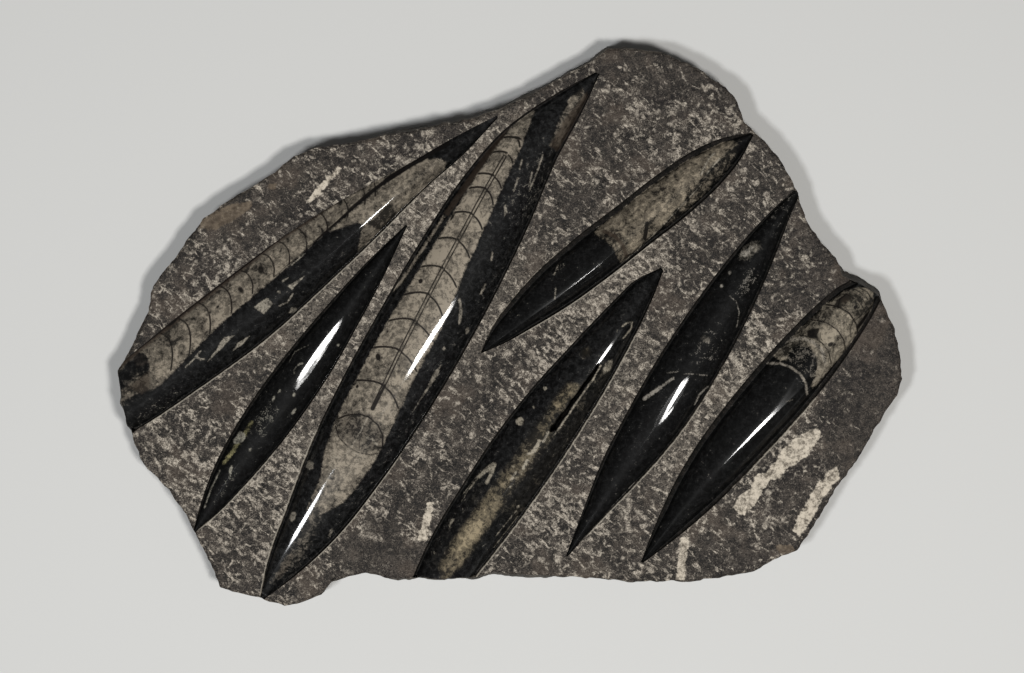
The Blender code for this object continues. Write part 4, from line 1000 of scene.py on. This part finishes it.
def pecked_finish():
    """Dressed limestone: dark grey with a fine salt-and-pepper grain, crumbled lighter by `strip` between
    two close shells.  The point leaves whitish strokes, drawn out across the shells, knots, thin squiggles
    and a few rings, thickest where `beaten` is high, and `bruise` whitens the lips of the dents.  `cut` is
    the pale arris at a shell's groove, `pale` and `brown` are fragments and clay in the bed, and `smooth`
    is stone with no strokes."""
    finish = Finish("pecked_limestone", 0.22)
    place = finish.add("ShaderNodeTexCoord", {}, {}, "Object")
    across = finish.add("ShaderNodeMapping", {"vector_type": "TEXTURE"}, {
        "Vector": place, "Rotation": (0.0, 0.0, math.radians(52.0)), "Scale": (1.0, 2.3, 1.0)})
    cloud = finish.noise(place, 0.05, 3.0, 0.55)
    blotch = finish.noise(place, 0.2, 4.0, 0.6, 0.4)
    crumb = finish.noise(place, 0.62, 4.0, 0.7)
    grain = finish.noise(place, 1.9, 2.0, 0.6)
    stroke = finish.noise(across, 0.4, 2.0, 0.45, 0.8)
    dot = finish.noise(place, 0.3, 2.0, 0.45, 0.6)
    squiggle = finish.maths("ABSOLUTE", finish.noise(place, 0.26, 2.0, 0.5, 1.4) - 0.5)
    beaten = finish.attribute("beaten")

    dark = finish.rise((blotch - 0.5) * 0.7 + (crumb - 0.5) * 1.1 + (grain - 0.5) * 1.5
                       + (cloud - 0.5) * 0.6 + 0.5, 0.16, 0.9)
    stone = finish.mix(dark, rgb(15, 13, 12), rgb(68, 62, 56))
    stone = finish.mix(finish.attribute("strip") * finish.rise(crumb * 0.6 + grain * 0.4, 0.38, 0.62)
                       * 0.34, stone, rgb(122, 114, 103))
    stone = finish.mix(finish.rise(grain * 0.7 + crumb * 0.3, 0.57, 0.67) * 0.35, stone, rgb(124, 118, 109))
    stone = finish.mix(finish.rise(cloud, 0.52, 0.66) * 0.15, stone, rgb(84, 70, 58))
    marks = finish.maths("MAXIMUM", stroke, dot - 0.04)
    marks = finish.rise((marks - 0.5) * 1.6 + (crumb - 0.5) * 0.35 + (grain - 0.5) * 0.2 + beaten * 0.1,
                        0.08, 0.38)
    knot = finish.rise(finish.noise(place, 0.19, 1.0, 0.4, 0.3) + (crumb - 0.5) * 0.12 + beaten * 0.03,
                       0.63, 0.75)
    thread = (finish.rise(squiggle + (crumb - 0.5) * 0.04, 0.022, 0.006)
              * finish.rise(blotch + beaten * 0.06, 0.52, 0.6))
    cells = {"Vector": place, "Scale": 0.17 / MM, "Randomness": 1.0}
    ring = finish.maths("ABSOLUTE", finish.add("ShaderNodeTexVoronoi", {}, cells) - 0.2)
    chosen = finish.rise(finish.add("ShaderNodeTexVoronoi", {}, cells, "Color"), 0.7, 0.74)
    ring = finish.rise(ring + (crumb - 0.5) * 0.25, 0.06, 0.0) * chosen
    chalk = finish.mix(finish.rise(grain * 0.5 + crumb * 0.5, 0.4, 0.62), rgb(84, 77, 70), rgb(178, 169, 155))
    whole = finish.maths("MAXIMUM", finish.maths("MAXIMUM", marks * 0.92, knot * 0.8),
                         finish.maths("MAXIMUM", thread * 0.6, ring * 0.4))
    stone = finish.mix(whole * (1.0 - finish.attribute("smooth")), stone, chalk)
    bruise = finish.rise(finish.attribute("bruise") + (grain - 0.5) * 0.8 + (crumb - 0.5) * 0.6, 0.5, 1.2)
    stone = finish.mix(bruise * 0.6, stone, chalk)
    brown = finish.rise(finish.attribute("brown") + (blotch - 0.5) * 4.0 + (crumb - 0.5) * 2.0, -0.3, 0.5)
    stone = finish.mix(brown * 0.75, stone,
                       finish.mix(finish.rise(crumb * 0.5 + blotch * 0.5, 0.4, 0.62), rgb(70, 60, 49),
                                  rgb(104, 92, 77)))
    pale = finish.rise(finish.attribute("pale") + (blotch - 0.5) * 3.0 + (crumb - 0.5) * 2.4, -0.3, 0.5)
    stone = finish.mix(pale * 0.92, stone,
                       finish.mix(finish.rise(blotch * 0.4 + crumb * 0.4 + grain * 0.2, 0.4, 0.57),
                                  rgb(92, 85, 75), rgb(190, 180, 164)))
    cut = finish.rise(finish.attribute("cut") + (crumb - 0.5) * 0.8, 0.35, 0.95)
    stone = finish.mix(cut * 0.8, stone, rgb(142, 136, 124))
    finish.put(finish.shader.inputs["Base Color"], stone)
    finish.put(finish.shader.inputs["Roughness"], 0.74 + (grain - 0.5) * 0.3)
    bump = finish.add("ShaderNodeBump", {}, {
        "Strength": 1.0, "Distance": 0.45 * MM, "Height": crumb * 0.7 + grain * 0.5 + marks * 0.35})
    finish.put(finish.shader.inputs["Normal"], bump)
    return finish.material


# Places on the face, x and y: fragments of other shells in the bed, brown clay, and stone left without
# strokes; then round places and their reach, where the point struck most and least.
BED_FRAGMENTS = [
    [(102.5, -83.9), (107.1, -87.6), (111.7, -83.9), (117.6, -74.7), (119.9, -71.1), (124.5, -71.1),
     (126.8, -66.5), (131.3, -63.8), (137.3, -59.6), (140.5, -54.6), (143.7, -50.9), (141.9, -47.3),
     (137.3, -48.2), (131.8, -51.9), (126.8, -55.5), (122.2, -62.8), (117.6, -67.4), (113.9, -68.3),
     (110.7, -74.7), (106.2, -77.9)],
    [(130, -94), (133.6, -96.7), (139.1, -89.4), (143.7, -80.2), (148.3, -73.8), (151.9, -70.2),
     (151, -64.7), (146.4, -67.4), (140.9, -73.8), (136.4, -82), (132.3, -88.5)],
    [(79, -97.5), (83, -97.2), (82, -108), (80.5, -117), (76.5, -117), (78, -108)],
    [(-37, -81.5), (-34, -81), (-35.5, -90), (-36.5, -99), (-41.5, -98.5), (-39.5, -90)],
    [(-92.5, 55.5), (-90, 56), (-84, 62.5), (-76, 71.5), (-78, 72.5), (-86.5, 64)],
]
BED_CLAY = [
    [(-141.4, 43.8), (-135.5, 42.9), (-126.4, 47), (-116.3, 54.3), (-118, 57), (-126.4, 55.2),
     (-134.1, 51.6), (-139.6, 47.9)], [(-110, 64.5), (-105.8, 64.5), (-105.8, 61.6), (-109.5, 61.6)],
    [(122, -101), (130, -101), (134, -106), (127, -108)]]
BED_SMOOTH = [
    [(-66, -87.5), (-51, -88), (-50.5, -96), (-56, -97.5), (-66, -96)],
    [(-74, -98), (-30, -100), (-30, -118), (-74, -118)]]
BEATEN = [((-150, -60), 26), ((-135, 20), 22), ((-112, -80), 34), ((55, 35), 24), ((30, -10), 30),
          ((-20, 60), 20), ((85, 85), 22), ((-60, -85), 12), ((30, -90), 24), ((120, -20), 26),
          ((90, -60), 16), ((60, 100), 18), ((-49, 46), 14), ((-22, 63), 12)]
SPARED = [((-97, 1), 22), ((-120, -22), 12)]
ARRIS = [(small_left, -1, 4, 50), (great, 1, 5, 80), (far_left, -1, 15, 170), (right_end, -1, 70, 112),
         (cracked, -1, 10, 150), (slim_right, -1, 15, 90), (great, -1, 30, 90), (upper_right, -1, 20, 90)]


def bed_places(x, y):
    """The finish's fields: how beaten the stone is, signed distances to the fragments and the clay, the
    pale arris, the narrow strips between two shells, and smooth stone."""
    beaten = 0.5 * ground(x, y, 14.0, 51) + 0.3 * ground(x, y, 6.0, 52) - 0.3
    for (cx, cy), reach in BEATEN:
        beaten = np.maximum(beaten, 0.55 * ground(x, y, 8.0, 53) + 1.0
                            - (np.hypot(x - cx, y - cy) / reach) ** 2)
    for (cx, cy), reach in SPARED:
        beaten = beaten - 0.9 * ease(1 - np.hypot(x - cx, y - cy) / reach, 0, 0.6)
    every = np.sort(np.stack([shell.inside(x, y) for shell in SHELLS]), axis=0)
    near, second = every[-1], every[-2]
    strip = 1 - ease(-near - second, 9, 18)
    beaten = (np.clip(beaten, -1, 0.8) + 0.5 * ease(near, -9, -3) + 0.12 * strip
              - 1.1 * ease(x, 138, 158) - 0.6 * ease(y, 86, 102))
    arris = np.zeros(x.shape)
    for shell, side, first, last in ARRIS:
        s, t = shell.to_axis(x, y)
        gap = np.abs(t + shell.row(1, s)) if side < 0 else np.abs(t - shell.row(2, s))
        arris = np.maximum(arris,
                           np.exp(-(gap / 0.6) ** 2) * ease(s, first - 6, first)
                           * (1 - ease(s, last, last + 6)))
    return {"beaten": beaten, "pale": np.max([patch(f, x, y) for f in BED_FRAGMENTS], axis=0),
            "brown": np.max([patch(f, x, y) for f in BED_CLAY], axis=0), "cut": arris, "strip": strip,
            "smooth": np.maximum(ease(np.max([patch(f, x, y) for f in BED_SMOOTH], axis=0), -2, 2) * 0.8,
                                 0.45 * ease(x, 144, 156))}


face_points, face_faces, face_values = pecked_face()
face_material = pecked_finish()
middle_t = great.to_axis(*face_points[face_faces].mean(axis=1)[:, :2].T)[1]
for piece_name, chosen in (("pecked_face_left", middle_t > 0), ("pecked_face_right", middle_t <= 0)):
    used, faces = np.unique(face_faces[chosen], return_inverse=True)
    faces = faces.reshape(-1, 3)
    points = face_points[used]
    low, high = points.min(axis=0), points.max(axis=0)
    plan = ((points - low) / (high - low).max())[:, :2]
    new_piece(piece_name, points, faces, face_material, {k: v[used] for k, v in face_values.items()},
              {"OFBake": plan[faces]})


# --------------------------------------------------------------------------------------------------
# Broken edge: the fracture all round the slab, of raw dark limestone.  The slab was broken out of its bed
# with a hammer, which left shallow shell-shaped chips.
WALL_STEP = 0.9
WALL_ROWS = 26
LIP_IN = 1.6     # the first row lies hidden this far in from the edge
LIP_DOWN = 1.8   # and this far under the face
FOOT_IN = 0.7    # how far the wall turns in at its foot
WALL_STRIPS = 8  # the texture map cuts the long wall into strips and stacks them


def top_height(x, y):
    """Height of the finished top at any point: a shell's own where the point is inside its cut lines, and
    the face's elsewhere, rounded over at the plate's edge."""
    inner, owner = inside_shells(x, y)
    height = swell(x, y) - RIM_DROP
    for number, shell in enumerate(SHELLS):
        mine = (inner > 0) & (owner == number)
        s, t = shell.to_axis(x, y)
        height = np.where(mine, shell.height(s, t), height)
    return height


def broken_edge():
    """Profile carried round the edge: from under the face, over the rim, and down the wall, which leans out
    by the edge's own lean and is chipped by noise in the angle and the height."""
    angle = np.linspace(-math.pi, math.pi, 4001)[:-1]
    reach = edge_distance(angle)
    x, y = reach * np.cos(angle), reach * np.sin(angle)
    length = np.append(0, np.cumsum(np.hypot(np.diff(np.append(x, x[0])), np.diff(np.append(y, y[0])))))
    count = int(length[-1] / WALL_STEP)
    at = np.linspace(0, length[-1], count, endpoint=False)
    angle = np.interp(at, length, np.append(angle, math.pi))
    reach = edge_distance(angle)
    x, y = reach * np.cos(angle), reach * np.sin(angle)
    span = 5
    run_x = np.roll(x, -span) - np.roll(x, span)
    run_y = np.roll(y, -span) - np.roll(y, span)
    out = np.stack([run_y, -run_x]) / np.hypot(run_x, run_y)
    lean = np.interp(angle, EDGE_ANGLE, EDGE_LEAN, period=2 * math.pi)
    kernel = np.hanning(13) / np.hanning(13).sum()
    lean = np.convolve(np.concatenate([lean[-6:], lean, lean[:6]]), kernel, "valid")
    top = FACE_LEVEL + top_height(x, y)
    v = np.linspace(0, 1, WALL_ROWS)[:, None]
    drop = v ** 0.9
    z = (top - CUT_LINE_LAP) * (1 - drop)
    profile = lean * (0.15 * drop + 0.85 * drop**1.3) - FOOT_IN * ease(drop, 0.93, 1.0)
    chip = (0.75 * ground(at[None, :], z * 1.3, 11.0, 41) + 0.45 * ground(at[None, :], z, 4.3, 42)
            + 0.2 * ground(at[None, :], z, 1.8, 43))
    offset = (profile + chip * ease(drop, 0.0, 0.12) * (1 - 0.6 * ease(drop, 0.9, 1.0))
              - 0.5 * ease(drop, 0.02, 0.2))
    wx, wy = x + out[0] * offset, y + out[1] * offset
    lip_x, lip_y = x - out[0] * LIP_IN, y - out[1] * LIP_IN
    rows = [np.stack([lip_x, lip_y, top - LIP_DOWN], axis=-1)[None]]
    rows.append(np.stack(np.broadcast_arrays(wx, wy, z), axis=-1))
    return np.concatenate(rows)


def broken_finish():
    """Fresh fracture: dark grey limestone with a fine crumb and scattered lighter flecks."""
    finish = Finish("broken_limestone", 0.3)
    place = finish.add("ShaderNodeTexCoord", {}, {}, "Object")
    blotch = finish.noise(place, 0.12, 4.0, 0.6)
    crumb = finish.noise(place, 0.5, 4.0, 0.6)
    grain = finish.noise(place, 1.9, 3.0, 0.6)
    tone = finish.rise(blotch * 0.5 + crumb * 0.5, 0.36, 0.66)
    stone = finish.mix(tone, rgb(36, 34, 31), rgb(88, 82, 74))
    stone = finish.mix(finish.rise(crumb * 0.5 + grain * 0.5, 0.58, 0.72) * 0.7, stone, rgb(122, 116, 106))
    finish.put(finish.shader.inputs["Base Color"], stone)
    finish.put(finish.shader.inputs["Roughness"], 0.8 + (grain - 0.5) * 0.2)
    bump = finish.add("ShaderNodeBump", {}, {
        "Strength": 0.8, "Distance": 0.4 * MM, "Height": crumb * 0.7 + grain * 0.4})
    finish.put(finish.shader.inputs["Normal"], bump)
    return finish.material


wall_grid = broken_edge()
wall_rows, wall_columns = wall_grid.shape[:2]
index = np.arange(wall_rows * wall_columns).reshape(wall_rows, wall_columns)
following = np.roll(index, -1, axis=1)
wall_faces = np.stack([index[:-1], index[1:], following[1:], following[:-1]], axis=-1).reshape(-1, 4)
column = np.tile(np.arange(wall_columns), wall_rows - 1)
row = np.repeat(np.arange(wall_rows - 1), wall_columns)
strip = column * WALL_STRIPS // wall_columns
u0 = column * WALL_STRIPS / wall_columns - strip
u1 = (column + 1) * WALL_STRIPS / wall_columns - strip
v0 = (strip + row / wall_rows) / WALL_STRIPS
v1 = (strip + (row + 1) / wall_rows) / WALL_STRIPS
strip_map = np.stack([np.stack(corner, -1) for corner in ((u0, v0), (u0, v1), (u1, v1), (u1, v0))], 1)
new_piece("broken_edge", wall_grid.reshape(-1, 3), wall_faces, broken_finish(), {}, {"OFBake": strip_map})

# --------------------------------------------------------------------------------------------------
# Sawn back: the slab was cut flat with a big circular saw, which leaves faint arcs, half rubbed away.  The
# plate rests on it.
BACK_RINGS = [0.985, 0.95, 0.88, 0.78, 0.66, 0.54, 0.42, 0.3, 0.18, 0.08]
SAW_CENTRE = (0.35, 0.22, 0.0)  # in metres, as the shader reads it


def sawn_finish():
    """Sawn limestone: even grey, crossed by the saw's arcs in tone and in bump where
    `worn` has left them."""
    finish = Finish("sawn_limestone", 0.3)
    place = finish.add("ShaderNodeTexCoord", {}, {}, "Object")
    saw = finish.add("ShaderNodeMapping", {}, {"Vector": place, "Location": SAW_CENTRE})
    arcs = finish.add("ShaderNodeTexWave", {"wave_type": "RINGS", "rings_direction": "Z"}, {
        "Vector": saw, "Scale": 0.09 / MM, "Distortion": 0.6, "Detail": 2.0, "Detail Scale": 1.0})
    cloud = finish.noise(place, 0.04, 4.0, 0.6)
    grain = finish.noise(place, 1.4, 3.0, 0.6)
    worn = finish.rise(finish.noise(place, 0.02, 2.0, 0.5, 0.6), 0.42, 0.6)
    tone = finish.rise(cloud * 0.45 + grain * 0.5 + (arcs - 0.5) * worn * 0.05, 0.3, 0.66)
    finish.put(finish.shader.inputs["Base Color"], finish.mix(tone, rgb(58, 55, 50), rgb(92, 87, 80)))
    finish.put(finish.shader.inputs["Roughness"], 0.62 + grain * 0.2)
    bump = finish.add("ShaderNodeBump", {}, {
        "Strength": 0.4, "Distance": 0.08 * MM, "Height": arcs * worn * 0.25 + grain * 0.5})
    finish.put(finish.shader.inputs["Normal"], bump)
    return finish.material


# The inner rings keep the edge's distance but never turn back, so no face folds over at the edge's notch.
foot = wall_grid[-1]
turn = np.unwrap(np.arctan2(foot[:, 1], foot[:, 0]))
turn = np.maximum.accumulate(turn) if turn[-1] > turn[0] else np.minimum.accumulate(turn)
distance = np.hypot(foot[:, 0], foot[:, 1])
steady = np.stack([distance * np.cos(turn), distance * np.sin(turn), foot[:, 2]], axis=-1)
rings = np.concatenate([foot[None], np.array(BACK_RINGS)[:, None, None] * steady[None]])
back_points = np.concatenate([rings.reshape(-1, 3), [[0.0, 0.0, 0.0]]])
index = np.arange(len(rings) * wall_columns).reshape(-1, wall_columns)
following = np.roll(index, -1, axis=1)
quads = np.stack([index[:-1], index[1:], following[1:], following[:-1]], axis=-1).reshape(-1, 4)
hub = np.stack([index[-1], np.full(wall_columns, len(back_points) - 1), following[-1]], axis=-1)
back_faces = np.concatenate([quads[:, [0, 1, 2]], quads[:, [0, 2, 3]], hub])
low, high = back_points.min(axis=0), back_points.max(axis=0)
plan = ((back_points - low) / (high - low).max())[:, :2]
back = new_piece("sawn_back", back_points, back_faces, sawn_finish(), {}, {"OFBake": plan[back_faces]})
back.data.shade_flat()

# --------------------------------------------------------------------------------------------------
# Studio: a pale floor, two small soft lights high up to the right and to the left, a weak fill from all
# round, and the camera, which looks straight down.
floor_mesh = bpy.data.meshes.new("floor")
FLOOR_HALF = 3.0
floor_corners = [(x * FLOOR_HALF, y * FLOOR_HALF, 0) for x, y in ((-1, -1), (1, -1), (1, 1), (-1, 1))]
floor_mesh.from_pydata(floor_corners, [], [(0, 1, 2, 3)])
floor = bpy.data.objects.new("floor", floor_mesh)
bpy.context.scene.collection.objects.link(floor)
floor_finish = Finish("floor_paper", 0.2)
floor_finish.shader.inputs["Base Color"].default_value = (0.5, 0.5, 0.49, 1)
floor_finish.shader.inputs["Roughness"].default_value = 0.9
floor_mesh.materials.append(floor_finish.material)

world = bpy.data.worlds.new("studio")
bpy.context.scene.world = world
world.use_nodes = True
background = world.node_tree.nodes["Background"]
background.inputs["Color"].default_value = (1.0, 0.99, 0.97, 1)
background.inputs["Strength"].default_value = 0.09


def softbox(name, place, aim, size, power, tone):
    """Square area light, pointed from one place at another."""
    light = bpy.data.lights.new(name, "AREA")
    light.shape = "RECTANGLE"
    light.size, light.size_y = size
    light.energy = power
    light.color = tone
    obj = bpy.data.objects.new(name, light)
    bpy.context.scene.collection.objects.link(obj)
    obj.location = place
    obj.rotation_euler = (Vector(aim) - Vector(place)).to_track_quat("-Z", "Y").to_euler()
    obj.visible_camera = False
    return obj


LIGHT_SIDES = (0.2, 0.2)
PLATE_MIDDLE = (0.0, 0.0, 0.02)
softbox("key", (0.36, -0.34, 1.62), PLATE_MIDDLE, LIGHT_SIDES, 22.0, (1.0, 0.985, 0.96))
softbox("fill", (-0.5, -0.37, 1.62), PLATE_MIDDLE, LIGHT_SIDES, 16.0, (0.97, 0.985, 1.0))

camera_data = bpy.data.cameras.new("camera")
camera = bpy.data.objects.new("camera", camera_data)
bpy.context.scene.collection.objects.link(camera)
IMAGE_WIDTH = 1024
SCALE = 0.4577 * MM  # of the plate to a pixel of the image, at the face's level
DISTANCE = 1.5
SENSOR_WIDTH = 36.0
camera_data.sensor_width = SENSOR_WIDTH
camera_data.lens = SENSOR_WIDTH * DISTANCE / (IMAGE_WIDTH * SCALE)
camera.location = (1.8 * MM, -5.4 * MM, FACE_LEVEL * MM + DISTANCE)
camera_data.clip_end = 20.0
bpy.context.scene.camera = camera
bpy.context.scene.view_settings.view_transform = "Standard"
